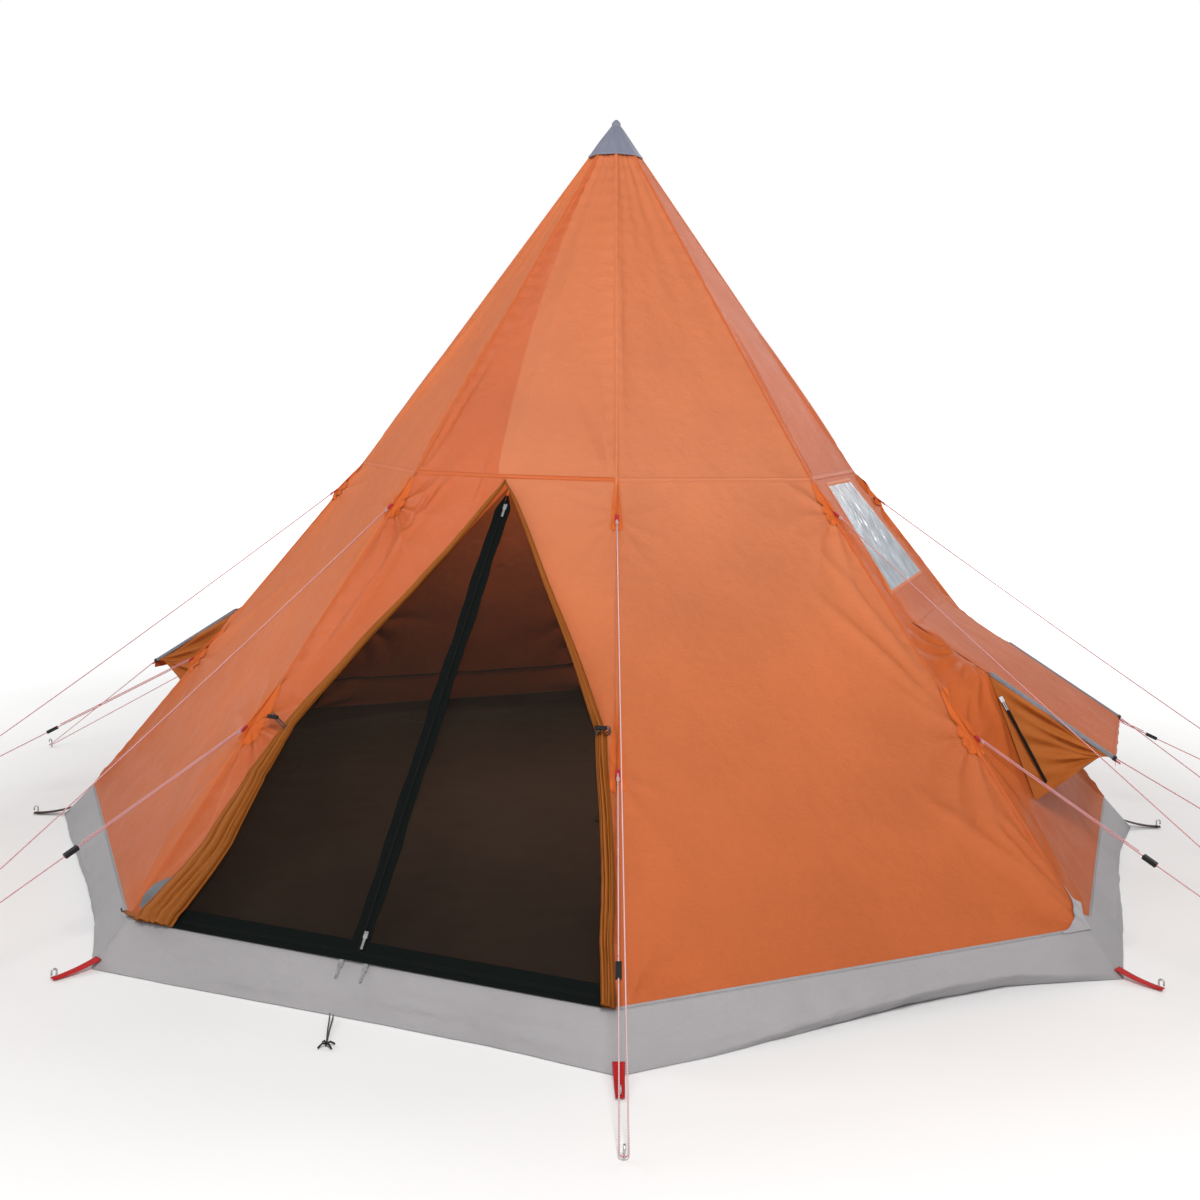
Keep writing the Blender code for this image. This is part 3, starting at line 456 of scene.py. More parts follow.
def tube(name, points, radius, look, sides=8, closed_ends=True):
    """A round cord or wire through a list of points, with the braid's place in its cut map."""
    centres = np.array([tuple(p) for p in points])
    along = np.gradient(centres, axis=0)
    along /= np.linalg.norm(along, axis=1)[:, None]
    side = np.cross(along[0], (0.0, 0.0, 1.0))
    if np.linalg.norm(side) < 1e-3:
        side = np.array((1.0, 0.0, 0.0))
    sides_at = []
    for direction in along:
        side = side - direction * side.dot(direction)
        side /= np.linalg.norm(side)
        sides_at.append(side)
    sides_at = np.array(sides_at)
    up_at = np.cross(sides_at, along)
    angles = np.arange(sides + 1) * 2 * math.pi / sides
    rings = centres[:, None] + radius * (
        sides_at[:, None] * np.cos(angles)[None, :, None] + up_at[:, None] * np.sin(angles)[None, :, None]
    )
    steps = np.linalg.norm(np.diff(centres, axis=0), axis=1)
    length = np.concatenate([[0.0], np.cumsum(steps)])
    share = np.arange(sides + 1) / sides
    cut = np.stack(np.meshgrid(share, length), axis=-1)
    obj = surface(name, rings, cut, look)
    mesh_in = bmesh.new()
    mesh_in.from_mesh(obj.data)
    bmesh.ops.remove_doubles(mesh_in, verts=mesh_in.verts, dist=radius * 0.05)
    if closed_ends:
        bmesh.ops.holes_fill(mesh_in, edges=mesh_in.edges, sides=sides)
    bmesh.ops.recalc_face_normals(mesh_in, faces=mesh_in.faces)
    mesh_in.to_mesh(obj.data)
    mesh_in.free()
    return obj


def rounded_box(name, size, place, look, radius, segments=2):
    """A box with rounded edges, with its cut map along its length and width."""
    mesh_in = bmesh.new()
    bmesh.ops.create_cube(mesh_in, size=1.0)
    bmesh.ops.scale(mesh_in, vec=size, verts=mesh_in.verts)
    bmesh.ops.bevel(
        mesh_in, geom=mesh_in.edges[:], offset=radius, segments=segments, profile=0.5, affect="EDGES"
    )
    layer = mesh_in.loops.layers.uv.new("cut")
    for face in mesh_in.faces:
        for loop in face.loops:
            loop[layer].uv = (loop.vert.co.y, loop.vert.co.x)
    bmesh.ops.transform(mesh_in, matrix=place, verts=mesh_in.verts)
    mesh = finished(name, mesh_in)
    mesh.shade_smooth()
    mesh.set_sharp_from_angle(angle=math.radians(50))
    return place_object(name, mesh, look)


def facing(along, across, outward):
    """A rotation whose X, Y and Z axes lie along, across and outward."""
    return Matrix((along, across, outward)).transposed().to_4x4()


def placed(centre, along, across):
    """The place of a box whose length lies along and whose width lies across."""
    return Matrix.Translation(centre) @ facing(along, across, along.cross(across))


def thicken(obj, thickness, offset=-1.0):
    made = obj.modifiers.new("thickness", "SOLIDIFY")
    made.thickness = thickness
    made.offset = offset


def joined(name, parts):
    """Several objects as one, under the first one's materials."""
    with bpy.context.temp_override(
        active_object=parts[0], selected_objects=parts, selected_editable_objects=parts
    ):
        bpy.ops.object.join()
    parts[0].name = name
    return parts[0]


def on_tent(obj, slot, *nodes, body="tent"):
    """The piece rides on a body and stands for the given nodes, which it hides; slot is not used."""
    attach(obj, body)
    if nodes:
        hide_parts(*nodes)
    return obj


LEAST_FILL = 0.5


def mesh_area(obj):
    return sum(face.area for face in obj.data.polygons)


def cut_places(obj):
    """Each loop's place on the flat cloth, and the loops of each triangle."""
    mesh = obj.data
    places = np.empty(2 * len(mesh.loops), dtype=np.float32)
    mesh.uv_layers["cut"].data.foreach_get("uv", places)
    mesh.calc_loop_triangles()
    triangles = np.empty(3 * len(mesh.loop_triangles), dtype=np.int32)
    mesh.loop_triangles.foreach_get("loops", triangles)
    return places.reshape(-1, 2), triangles.reshape(-1, 3)


def cut_size(obj):
    """The width and length of the flat cloth, and its area, read from the cut map."""
    places, triangles = cut_places(obj)
    width, length = places.max(axis=0) - places.min(axis=0)
    a, b, c = (places[triangles[:, i]] for i in range(3))
    area = np.abs((b - a)[:, 0] * (c - a)[:, 1] - (b - a)[:, 1] * (c - a)[:, 0]).sum() / 2
    return float(width), float(length), float(area)


def cloth(obj):
    """Works out a sheet's width and length from its own flat cut, and returns the sheet."""
    width, length, area = cut_size(obj)
    # a slanting strip is narrower than the box round it
    width = min(width, area / (LEAST_FILL * length))
    return obj


# ---------------------------------------------------------------- places on the tent
def ridge_radius(z):
    """Distance from the pole to a ridge line at height z."""
    heights = (0.0, TUB_TOP_Z, SEAM_Z, CANOPY_APEX_Z)
    return np.interp(z, heights, (CORNER_RADIUS, TUB_TOP_RADIUS, SEAM_RADIUS, 0.0))


def corner_point(number, radius, z):
    angle = -math.pi / 2 + HALF_TURN * (2 * number + 1)
    return Vector((radius * math.cos(angle), radius * math.sin(angle), z))


def side_axes(side):
    """The outward and the sideways direction of a side; side 0 holds the door."""
    angle = -math.pi / 2 + 2 * HALF_TURN * side
    out = Vector((math.cos(angle), math.sin(angle), 0))
    return out, Vector((-out.y, out.x, 0))


def half_side(z):
    return ridge_radius(z) * math.sin(HALF_TURN)


def slope_length(z):
    """Distance from the tub's rim up a side's middle line to height z."""
    lower = math.hypot(SEAM_Z - TUB_TOP_Z, (TUB_TOP_RADIUS - SEAM_RADIUS) * math.cos(HALF_TURN))
    upper = math.hypot(CANOPY_APEX_Z - SEAM_Z, SEAM_RADIUS * math.cos(HALF_TURN))
    return np.interp(z, (TUB_TOP_Z, SEAM_Z, CANOPY_APEX_Z), (0.0, lower, lower + upper))


def wall_normal(side, upper=False):
    out, _ = side_axes(side)
    rise, run = SEAM_Z - TUB_TOP_Z, TUB_TOP_RADIUS - SEAM_RADIUS
    if upper:
        rise, run = CANOPY_APEX_Z - SEAM_Z, SEAM_RADIUS
    return (out * rise + Vector((0, 0, run * math.cos(HALF_TURN)))).normalized()


# ---------------------------------------------------------------- wrinkles
def soft_noise(x, y, seed, size, waves=7):
    """Smooth unevenness from -1 to 1 with bumps of about a given size, as a sum of plane waves."""
    random = np.random.default_rng(seed)
    total = np.zeros_like(x)
    for _ in range(waves):
        heading = random.uniform(0, 2 * math.pi)
        number = 2 * math.pi / size * random.uniform(0.6, 1.5)
        total += np.sin(number * (x * math.cos(heading) + y * math.sin(heading)) + random.uniform(0, 6.3))
    return total / waves


def fan(x, y, centre, reach, height, seed, folds=9):
    """Wrinkles that radiate from a point, sharpest close to it."""
    dx, dy = x - centre[0], y - centre[1]
    distance = np.hypot(dx, dy)
    angle = np.arctan2(dy, dx)
    wander = soft_noise(dx, dy, seed, reach)
    wave = 1 - 2 * np.abs(np.sin(angle * folds / 2 + wander * 1.2 + seed))
    near = np.minimum(distance / (0.18 * reach), 1.0)
    return height * wave * near * np.exp(-((distance / reach) ** 2) * 1.6)


HINGE_BEND = 0.010
CREASE_WIDTH = 1.45
CREASE_HEIGHT = 1.7


def crease(x, y, start, end, width, height):
    """A straight fold between two points that dies out at its ends."""
    run = np.array(end) - np.array(start)
    share = ((x - start[0]) * run[0] + (y - start[1]) * run[1]) / run.dot(run)
    off = ((x - start[0]) * run[1] - (y - start[1]) * run[0]) / math.hypot(*run)
    ends = np.clip(1 - (2 * share - 1) ** 2, 0, 1) ** 0.7 * ((share > 0) & (share < 1))
    return CREASE_HEIGHT * height * ends * np.exp(-((off / (CREASE_WIDTH * width)) ** 2))


# folds of each side, as (start, end, width, height), in sideways distance and height on the side
CREASES = {
    "front": [
        ((-0.185, 1.335), (-0.345, 1.060), 0.0080, 0.0062),
        ((-0.300, 1.160), (-0.410, 0.780), 0.0065, 0.0052),
        ((-0.250, 1.315), (-0.345, 1.080), 0.0055, 0.0045),
        ((-0.220, 1.330), (-0.330, 1.120), 0.0060, -0.0040),
        ((-0.325, 1.345), (-0.420, 1.170), 0.0060, 0.0048),
        ((-0.300, 1.300), (-0.420, 1.130), 0.0060, -0.0042),
        ((-0.345, 1.020), (-0.480, 0.660), 0.0065, 0.0045),
        ((-0.250, 1.620), (-0.350, 1.300), 0.0055, 0.0045),
        ((-0.200, 1.720), (-0.320, 1.320), 0.0080, -0.0035),
        ((-0.068, 1.370), (-0.092, 1.240), 0.0055, 0.0040),
        ((0.345, 1.300), (0.140, 1.600), 0.0060, -0.0045),
        ((0.345, 1.290), (0.175, 1.680), 0.0060, 0.0045),
        ((0.345, 1.320), (0.215, 1.800), 0.0060, -0.0040),
        ((0.08, 1.315), (0.34, 1.26), 0.008, 0.0030),
    ],
    "front_right": [
        ((-0.35, 1.26), (-0.13, 2.10), 0.013, 0.006),
        ((-0.36, 1.22), (-0.22, 1.85), 0.012, -0.006),
        ((0.735, 0.125), (0.570, 0.400), 0.010, 0.0095),
        ((0.725, 0.125), (0.520, 0.380), 0.010, 0.0090),
        ((0.730, 0.125), (0.545, 0.390), 0.008, -0.0050),
        ((0.70, 0.16), (0.30, 0.48), 0.016, 0.009),
        ((0.56, 0.60), (0.20, 1.00), 0.014, 0.008),
        ((0.53, 0.66), (0.28, 1.12), 0.013, 0.007),
        ((-0.10, 0.42), (0.50, 0.36), 0.030, 0.005),
        ((0.34, 1.20), (0.15, 1.05), 0.012, 0.005),
    ],
    "front_left": [
        ((-0.55, 0.60), (-0.15, 0.95), 0.016, 0.006),
        ((-0.70, 0.14), (-0.42, 0.40), 0.018, 0.008),
        ((0.37, 1.22), (0.16, 1.90), 0.014, 0.007),
        ((-0.35, 1.26), (-0.12, 1.90), 0.013, 0.006),
    ],
}
for side_name in SIDE_NAMES:
    CREASES.setdefault(side_name, CREASES["front_left"])


def wall_bulge(side, along, z):
    """Level shift outward, shared by the cloth above and below the seam."""
    half = np.maximum(half_side(z), 1e-4)
    share = np.clip(1 - np.abs(along) / half, 0, 1)
    if SIDE_NAMES[side] == "front":
        # the door's top pulls the middle of the front out into a soft fold
        rise = np.interp(z, (0.80, 1.27, 1.36, 1.9, 2.4), (0.0, 0.034, 0.066, 0.050, 0.0))
        return rise * share
    return np.zeros_like(share)


def hood_rise(z):
    """How far a hood's side bars lift the wall beside them: out to the bar's end, then up the hood."""
    below = 0.342 * (z - 0.345)
    above = 0.5014 * HINGE_BEND * np.logaddexp(0.0, (0.8846 - z) / HINGE_BEND)
    return np.clip(np.minimum(below, above), 0.0, None)


def wall_relief(side, along, z):
    """How far the cloth stands off the flat side, along its normal: slack, ripples, fans and creases."""
    name = SIDE_NAMES[side]
    seed = 11 * side + 3
    half = np.maximum(half_side(z), 1e-4)
    span = np.abs(along) / half
    upper = z > SEAM_Z
    above, below = (z - SEAM_Z) / (CANOPY_APEX_Z - SEAM_Z), (SEAM_Z - z) / (SEAM_Z - TUB_TOP_Z)
    height_share = np.where(upper, above, below)
    held = np.clip(1 - span**2, 0, 1)
    ends = np.sin(math.pi * np.clip(height_share, 0, 1)) ** 0.7
    slack = np.where(upper, 0.012, 0.010)
    relief = -slack * held * ends
    up = slope_length(z)
    relief += held**0.5 * ends * 0.0050 * soft_noise(along, up, seed, 0.34)
    relief += held**0.5 * 0.0013 * soft_noise(along, up * 1.6, seed + 1, 0.075)
    edge = half - np.abs(along)
    pucker = np.sin(up * 2 * math.pi / 0.06 + 3 * soft_noise(up, up, seed + 2, 0.4))
    relief += 0.0022 * np.exp(-edge / 0.045) * pucker
    for tab, reach, height in ((UPPER_TAB, 0.28, 0.0080), (LOWER_TAB, 0.32, 0.0085)):
        for sign in (-1, 1):
            middle = (sign * float(half_side(tab[1])), tab[1])
            calm = 0.35 if (name, sign) in (("front", 1), ("front_right", -1)) else 1.0
            relief += fan(along, z, middle, reach, height * calm, seed + sign + 5)
    for sign in (-1, 1):
        relief += fan(along, z, (sign * 0.73, 0.10), 0.38, 0.010, seed + sign + 9)
    # lengthwise folds that hang from the cap
    apex_turn = along / np.maximum(CANOPY_APEX_Z - z, 0.08)
    folds = np.sin(apex_turn * 46 + seed) * 0.6 + np.sin(apex_turn * 27 + 2 * seed) * 0.4
    depth = np.interp(height_share, (0, 0.35, 0.8, 1), (0, 0.5, 1, 0.3))
    relief += np.where(upper, 0.0028 * folds * depth, 0)
    if name in ("right", "left"):
        # the hood's stiff side bars push the wall out and pull folds towards their inner ends
        beside = np.clip((half - np.abs(along)) / (half - HOOD_HALF_WIDTH), 0, 1)
        covered = np.clip((HOOD_HALF_WIDTH + 0.004 - np.abs(along)) / 0.03, 0, 1)
        lifted = hood_rise(z) * beside**2 * (3 - 2 * beside) - 0.006 * covered * (z < 0.86)
        relief = relief * (1 - covered) + lifted
        for sign in (-1, 1):
            bar = (sign * HOOD_HALF_WIDTH, 0.73)
            relief += fan(along, z, bar, 0.40, 0.008, seed + sign + 14, folds=13) * (1 - covered)
    for start, end, width, height in CREASES[name]:
        relief += crease(along, z, start, end, width, height)
    fade = np.clip(edge / 0.012, 0, 1) * np.clip(np.abs(z - SEAM_Z) / 0.02, 0.15, 1)
    return relief * fade * np.clip((z - PANEL_FOOT_Z) / 0.03, 0, 1)


def skin(side, along, z, lift=0.0):
    """Points on the cloth of a side, at sideways distances and heights, lifted off it."""
    along, z = np.asarray(along, float), np.asarray(z, float)
    out, across = (np.array(v) for v in side_axes(side))
    steep, flat = (np.array(wall_normal(side, upper)) for upper in (True, False))
    apothem = ridge_radius(z) * math.cos(HALF_TURN) + wall_bulge(side, along, z)
    normal = np.where((z > SEAM_Z)[..., None], steep, flat)
    relief = wall_relief(side, along, z) + lift
    base = out * apothem[..., None] + across * along[..., None] + np.array((0, 0, 1.0)) * z[..., None]
    return base + normal * relief[..., None]


# ---------------------------------------------------------------- camera, stage and light
def build_camera():
    camera = bpy.data.objects.new("camera", bpy.data.cameras.new("camera"))
    camera.data.lens = CAMERA_LENS
    camera.data.shift_x, camera.data.shift_y = CAMERA_SHIFT
    ahead = (CAMERA_TARGET - CAMERA_PLACE).normalized()
    right = ahead.cross(Vector((0, 0, 1))).normalized()
    up = right.cross(ahead)
    rolled_right = right * math.cos(CAMERA_ROLL) + up * math.sin(CAMERA_ROLL)
    rolled_up = up * math.cos(CAMERA_ROLL) - right * math.sin(CAMERA_ROLL)
    camera.matrix_world = Matrix.Translation(CAMERA_PLACE) @ facing(rolled_right, rolled_up, -ahead)
    bpy.context.scene.collection.objects.link(camera)
    bpy.context.scene.camera = camera


def area_light(name, place, aim, size, power, colour):
    data = bpy.data.lights.new(name, "AREA")
    data.shape = "DISK"
    data.size = size
    data.energy = power
    data.color = colour
    light = bpy.data.objects.new(name, data)
    ahead = (Vector(aim) - Vector(place)).normalized()
    light.matrix_world = Matrix.Translation(place) @ ahead.to_track_quat("-Z", "Y").to_matrix().to_4x4()
    bpy.context.scene.collection.objects.link(light)


SURROUND_LIGHT = 0.42
SURROUND_SEEN = 1.0
FLOOR_LIT_RADIUS = 2.2
FLOOR_FADED_RADIUS = 8.0


def build_stage():
    """A pale floor that fades into a pale surround, and soft studio light."""
    mesh_in = bmesh.new()
    bmesh.ops.create_circle(mesh_in, cap_ends=True, segments=96, radius=60.0)
    mesh = finished("floor", mesh_in)
    look = Look("floor_pale", (0.90, 0.90, 0.90), 0.85)
    dust = look.noise(look.place(), 0.8, 3.0)
    look.feed("Base Color", look.ramp(dust, (0.3, (0.88, 0.88, 0.88)), (0.7, (0.92, 0.92, 0.92))))
    # away from the tent the floor turns into the pale surround
    reach = look.node("VectorMath", {0: look.place()}, operation="LENGTH").outputs["Value"]
    glow = look.spread(reach, 0.0, 0.95, FLOOR_LIT_RADIUS, FLOOR_FADED_RADIUS)
    look.feed("Emission Strength", glow)
    look.shader.inputs["Emission Color"].default_value = (1.0, 1.0, 1.0, 1)
    mesh.materials.append(look.material)
    floor = bpy.data.objects.new("floor", mesh)
    floor.location.z = -0.0005
    bpy.context.scene.collection.objects.link(floor)
    world = bpy.data.worlds.new("surround")
    world.use_nodes = True
    tree = world.node_tree
    background = tree.nodes["Background"]
    background.inputs["Color"].default_value = (1.0, 1.0, 1.0, 1)
    # the surround looks paler than the light it gives
    seen = tree.nodes.new("ShaderNodeLightPath")
    strength = tree.nodes.new("ShaderNodeMapRange")
    strength.inputs["To Min"].default_value = SURROUND_LIGHT
    strength.inputs["To Max"].default_value = SURROUND_SEEN
    tree.links.new(seen.outputs["Is Camera Ray"], strength.inputs["Value"])
    tree.links.new(strength.outputs["Result"], background.inputs["Strength"])
    scene = bpy.context.scene
    scene.world = world
    scene.view_settings.view_transform = "Standard"
    scene.view_settings.look = "None"
    area_light("key_light", (3.1, -6.9, 6.4), (0, 0, 0.9), 1.8, 510, (1.0, 0.985, 0.97))
    area_light("left_light", (-7.5, -1.5, 4.5), (0, 0, 0.8), 3.0, 120, (0.98, 0.99, 1.0))
    area_light("inside_light", (0.0, 0.08, 1.55), (0, 1.2, 0.0), 0.36, 23, (1.0, 0.82, 0.66))
    area_light("back_light", (2.5, 7.5, 5.0), (0, 0, 1.0), 4.0, 170, (1.0, 1.0, 1.0))


# ---------------------------------------------------------------- canopy
def contains(outline, point):
    """True if a point lies inside a convex outline."""
    turns = [
        (bx - ax) * (point[1] - ay) - (by - ay) * (point[0] - ax)
        for (ax, ay), (bx, by) in zip(outline, outline[1:] + outline[:1])
    ]
    return all(turn > 0 for turn in turns) or all(turn < 0 for turn in turns)


def cut_hole(mesh_in, outline, margin=0.05):
    """Splits a flat grid along a convex outline and removes what lies inside it."""
    low = [min(p[i] for p in outline) - margin for i in (0, 1)]
    high = [max(p[i] for p in outline) + margin for i in (0, 1)]
    for (ax, ay), (bx, by) in zip(outline, outline[1:] + outline[:1]):
        near = [
            face for face in mesh_in.faces
            if all(low[i] < face.calc_center_median()[i] < high[i] for i in (0, 1))
        ]
        geometry = set(near)
        for face in near:
            geometry.update(face.edges)
            geometry.update(face.verts)
        bmesh.ops.bisect_plane(
            mesh_in, geom=list(geometry), dist=1e-5,
            plane_co=(ax, ay, 0), plane_no=(by - ay, ax - bx, 0),
        )
    inside = [face for face in mesh_in.faces if contains(outline, face.calc_center_median())]
    bmesh.ops.delete(mesh_in, geom=inside, context="FACES")


def flatten_with_hood(piece):
    """Gives a piece of cloth under or beside a hood its own copy of its mesh."""
    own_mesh(piece)


def wall_panel(name, side, low, high, look, holes=(), left=(-1, -1), right=(1, 1), cell=0.012):
    """One cut of cloth on a side, between two heights, with its openings and its wrinkles.

    Its left and right edges are given at its foot and its head, as shares of half the side.
    """
    rows = math.ceil(float(slope_length(high) - slope_length(low)) / cell)
    columns = math.ceil((right[0] - left[0]) * float(half_side(low)) / cell)
    mesh_in = bmesh.new()
    grid = []
    for z in np.linspace(low, high, rows + 1):
        half = float(half_side(z))
        start, end = np.interp(z, (low, high), left), np.interp(z, (low, high), right)
        grid.append([mesh_in.verts.new((u * half, z, 0)) for u in np.linspace(start, end, columns + 1)])
    for lower, upper in zip(grid, grid[1:]):
        for i in range(columns):
            mesh_in.faces.new((lower[i], lower[i + 1], upper[i + 1], upper[i]))
    for hole in holes:
        cut_hole(mesh_in, hole)
    layer = mesh_in.loops.layers.uv.new("cut")
    for face in mesh_in.faces:
        for loop in face.loops:
            loop[layer].uv = (loop.vert.co.x, float(slope_length(loop.vert.co.y)))
    flat = np.array([vert.co[:] for vert in mesh_in.verts])
    for vert, place in zip(mesh_in.verts, skin(side, flat[:, 0], flat[:, 1])):
        vert.co = place
    mesh = finished(name, mesh_in)
    mesh.shade_smooth()
    return place_object(name, mesh, look)


FRONT_PAINTED_SHADE_EDGE = (-0.08, -0.75)
DOOR_HOLE = [
    (DOOR_FOOT_LEFT[0], 0.10), DOOR_FOOT_LEFT, DOOR_KINK_LEFT, (0.0, DOOR_TOP_Z),
    DOOR_KINK_RIGHT, DOOR_FOOT_RIGHT, (DOOR_FOOT_RIGHT[0], 0.10),
]
WINDOW_HOLE = [
    (-WINDOW_FOOT[0], WINDOW_FOOT[1]), (WINDOW_FOOT[0], WINDOW_FOOT[1]),
    (WINDOW_TOP[0], WINDOW_TOP[1]), (-WINDOW_TOP[0], WINDOW_TOP[1]),
]
VENT_HOLE = [
    (-VENT_HALF_WIDTH, VENT_FOOT_Z), (VENT_HALF_WIDTH, VENT_FOOT_Z),
    (VENT_HALF_WIDTH, VENT_TOP_Z), (-VENT_HALF_WIDTH, VENT_TOP_Z),
]


def build_canopy():
    for side, name in enumerate(SIDE_NAMES):
        node = "wall_back" if "back" in name else f"wall_{name}"
        if name == "front":
            # left of a line from the door's top towards the left ridge the front is a darker copy of the
            # orange, painted shade, with a glossier finish; right of it the pale copy carries painted
            # reflection
            low, high = (side, PANEL_FOOT_Z, SEAM_Z), (side, SEAM_Z, PANEL_TOP_Z)
            panels = [
                wall_panel("panel_door_left", *low, "deep", [DOOR_HOLE], right=(0, 0), cell=0.006),
                wall_panel("panel_door_right", *low, "pale", [DOOR_HOLE], left=(0, 0), cell=0.010),
                wall_panel("panel_over_door_left", *high, "deep", right=FRONT_PAINTED_SHADE_EDGE, cell=0.007),
                wall_panel("panel_over_door_right", *high, "pale", left=FRONT_PAINTED_SHADE_EDGE, cell=0.008),
            ]
        else:
            holes = {"right": [WINDOW_HOLE, VENT_HOLE], "left": [VENT_HOLE]}.get(name, [])
            cell = 0.010 if name in ("front_right", "front_left", "right") else 0.014
            # the front right wall takes the pale copy, with painted reflection, and the right wall the side
            # copy, with painted shade
            look = {"front_right": "pale", "right": "side"}.get(name, "canopy")
            panels = [
                wall_panel(f"panel_lower_{name}", side, PANEL_FOOT_Z, SEAM_Z, look, holes, cell=cell),
                wall_panel(f"panel_upper_{name}", side, SEAM_Z, PANEL_TOP_Z, look, cell=0.010),
            ]
        for panel in panels:
            on_tent(panel, "canopy_orange", node)
            cloth(panel)
        if name in ("right", "left"):
            flatten_with_hood(panels[0])


# seams beside the darker and paler cloth take the matching seam copies, with painted shade and painted
# reflection
RIDGE_LOOKS = {"front_right": "seam_painted_reflection", "right_front": "seam_deep", "front_left": "seam_deep"}
RING_LOOKS = {"front_right": "seam_painted_reflection", "front": "seam_deep", "right": "seam_deep"}


def build_seams():
    """A felled seam with two rows of stitches along each ridge, and one round the canopy."""
    heights = np.linspace(PANEL_FOOT_Z, PANEL_TOP_Z, 260)
    profile = ((-0.0085, 0.0004), (-0.0076, 0.0013), (-0.0040, 0.0016), (-0.0018, 0.0026))
    for name, (number, _) in CORNERS.items():
        columns = []
        for off, lift in profile:
            columns.append(skin(number, half_side(heights) + off, heights, lift))
        crest = [corner_point(number, float(ridge_radius(z)) + 0.0032, z) for z in heights]
        columns.append(np.array([tuple(p) for p in crest]))
        for off, lift in reversed(profile):
            columns.append(skin((number + 1) % SIDES, -half_side(heights) - off, heights, lift))
        offs = [off for off, _ in profile] + [0.0] + [-off for off, _ in reversed(profile)]
        cut = np.stack(np.meshgrid(offs, slope_length(heights)), axis=-1)
        look = RIDGE_LOOKS.get(name, "seam")
        seam = surface(f"ridge_seam_{name}", np.stack(columns, axis=1), cut, look)
        on_tent(seam, "canopy_orange")
    rings = []
    for side, name in enumerate(SIDE_NAMES):
        half = float(half_side(SEAM_Z))
        along = np.linspace(-half, half, 90)
        columns = []
        offs = (-0.0066, -0.0060, -0.003, 0.003, 0.0060, 0.0066)
        lifts = (0.0003, 0.0012, 0.0018, 0.0018, 0.0012, 0.0003)
        for off, lift in zip(offs, lifts):
            level = SEAM_Z + off
            columns.append(skin(side, along * half_side(level) / half, np.full_like(along, level), lift))
        cut = np.stack(np.meshgrid(offs, along), axis=-1)
        look = RING_LOOKS.get(name, "seam")
        rings.append(surface(f"seam_ring_{name}", np.stack(columns, axis=1), cut, look))
    on_tent(joined("seam_ring", rings), "canopy_orange")


def build_inside_seams():
    """Dark seam tape inside the canopy: up every ridge, and round it above the tub's rim.

    It lies well inside, because closer to the wall it showed through the creases as dark dashes.
    """
    parts = []
    heights = np.linspace(PANEL_FOOT_Z, 2.30, 150)
    for number in range(SIDES):
        half, beside = half_side(heights), (number + 1) % SIDES
        columns = [skin(number, half - off, heights, -INSIDE_TAPE_DEPTH) for off in (0.010, 0.003)]
        columns += [skin(beside, off - half, heights, -INSIDE_TAPE_DEPTH) for off in (0.003, 0.010)]
        cut = np.stack(np.meshgrid((-0.010, -0.003, 0.003, 0.010), slope_length(heights)), axis=-1)
        parts.append(surface(f"inside_seam_{number}", np.stack(columns, axis=1), cut, "inside"))
    for side in range(1, SIDES):
        columns = []
        for level in (INSIDE_SEAM_Z, INSIDE_SEAM_Z + 0.012):
            half = float(half_side(level)) - 0.002
            along = np.linspace(-half, half, 90)
            columns.append(skin(side, along, np.full_like(along, level), -INSIDE_TAPE_DEPTH))
        cut = np.stack(np.meshgrid((-0.006, 0.006), along), axis=-1)
        ring = surface(f"inside_ring_{SIDE_NAMES[side]}", np.stack(columns, axis=1), cut, "inside")
        if SIDE_NAMES[side] in ("right", "left"):
            on_tent(ring, "canopy_orange")
            flatten_with_hood(ring)
        else:
            parts.append(ring)
    on_tent(joined("inside_seams", parts), "canopy_orange")


def octagon(angle, radius, sharp):
    """Radius of an octagon with rounded corners at an angle; sharp 1 keeps its corners, 0 is a circle."""
    turn = np.mod(angle + math.pi / 2 + HALF_TURN, 2 * HALF_TURN) - HALF_TURN
    return radius * (sharp * math.cos(HALF_TURN) / np.cos(turn) + (1 - sharp))


def build_cap():
    """The slate cone over the pole's top, gathered in small pleats under its tip."""
    flank = np.linspace(CAP_FOOT_Z, TENT_TOP_Z - 0.014, 34)
    heights = np.concatenate([flank, TENT_TOP_Z - 0.010 * (1 - np.linspace(0.2, 1, 9)) ** 2])
    angles = np.linspace(0, 2 * math.pi, 96, endpoint=False)
    rows, cut = [], []
    for z in heights:
        radius = float(ridge_radius(min(z, 2.572))) + 0.0050
        if z > TENT_TOP_Z - 0.014:
            radius = 0.0165 * math.sqrt(max(0.0, (TENT_TOP_Z - z) / 0.014))
        share = (z - CAP_FOOT_Z) / (TENT_TOP_Z - CAP_FOOT_Z)
        lip = 0.0025 * math.exp(-(((z - CAP_FOOT_Z - 0.006) / 0.004) ** 2))
        ring = octagon(angles, radius + lip, 0.9 - 0.7 * share)
        pleats = np.sin(angles * 16 + 1.0) * 0.6 + np.sin(angles * 9 + 4 * share) * 0.4
        ring = ring + pleats * 0.0028 * math.sin(math.pi * min(share * 1.15, 1.0)) * min(1.0, radius / 0.03)
        level = np.full_like(angles, z)
        rows.append(np.stack([ring * np.cos(angles), ring * np.sin(angles), level], axis=-1))
        cut.append(np.stack([angles * 0.06, level], axis=-1))
    cap = surface("cap_cloth", rows, cut, "cap", wrap=True)
    on_tent(cap, "cap_slate", "cone_cap")


# ---------------------------------------------------------------- groundsheet
TUCK = {"front": 0.016, "front_right": 0.080, "front_left": 0.030}
TUB_COLUMNS = 110
PAINTED_SHADE_LINING_OFFSET = 0.0028
CORNER_RISE = 0.095


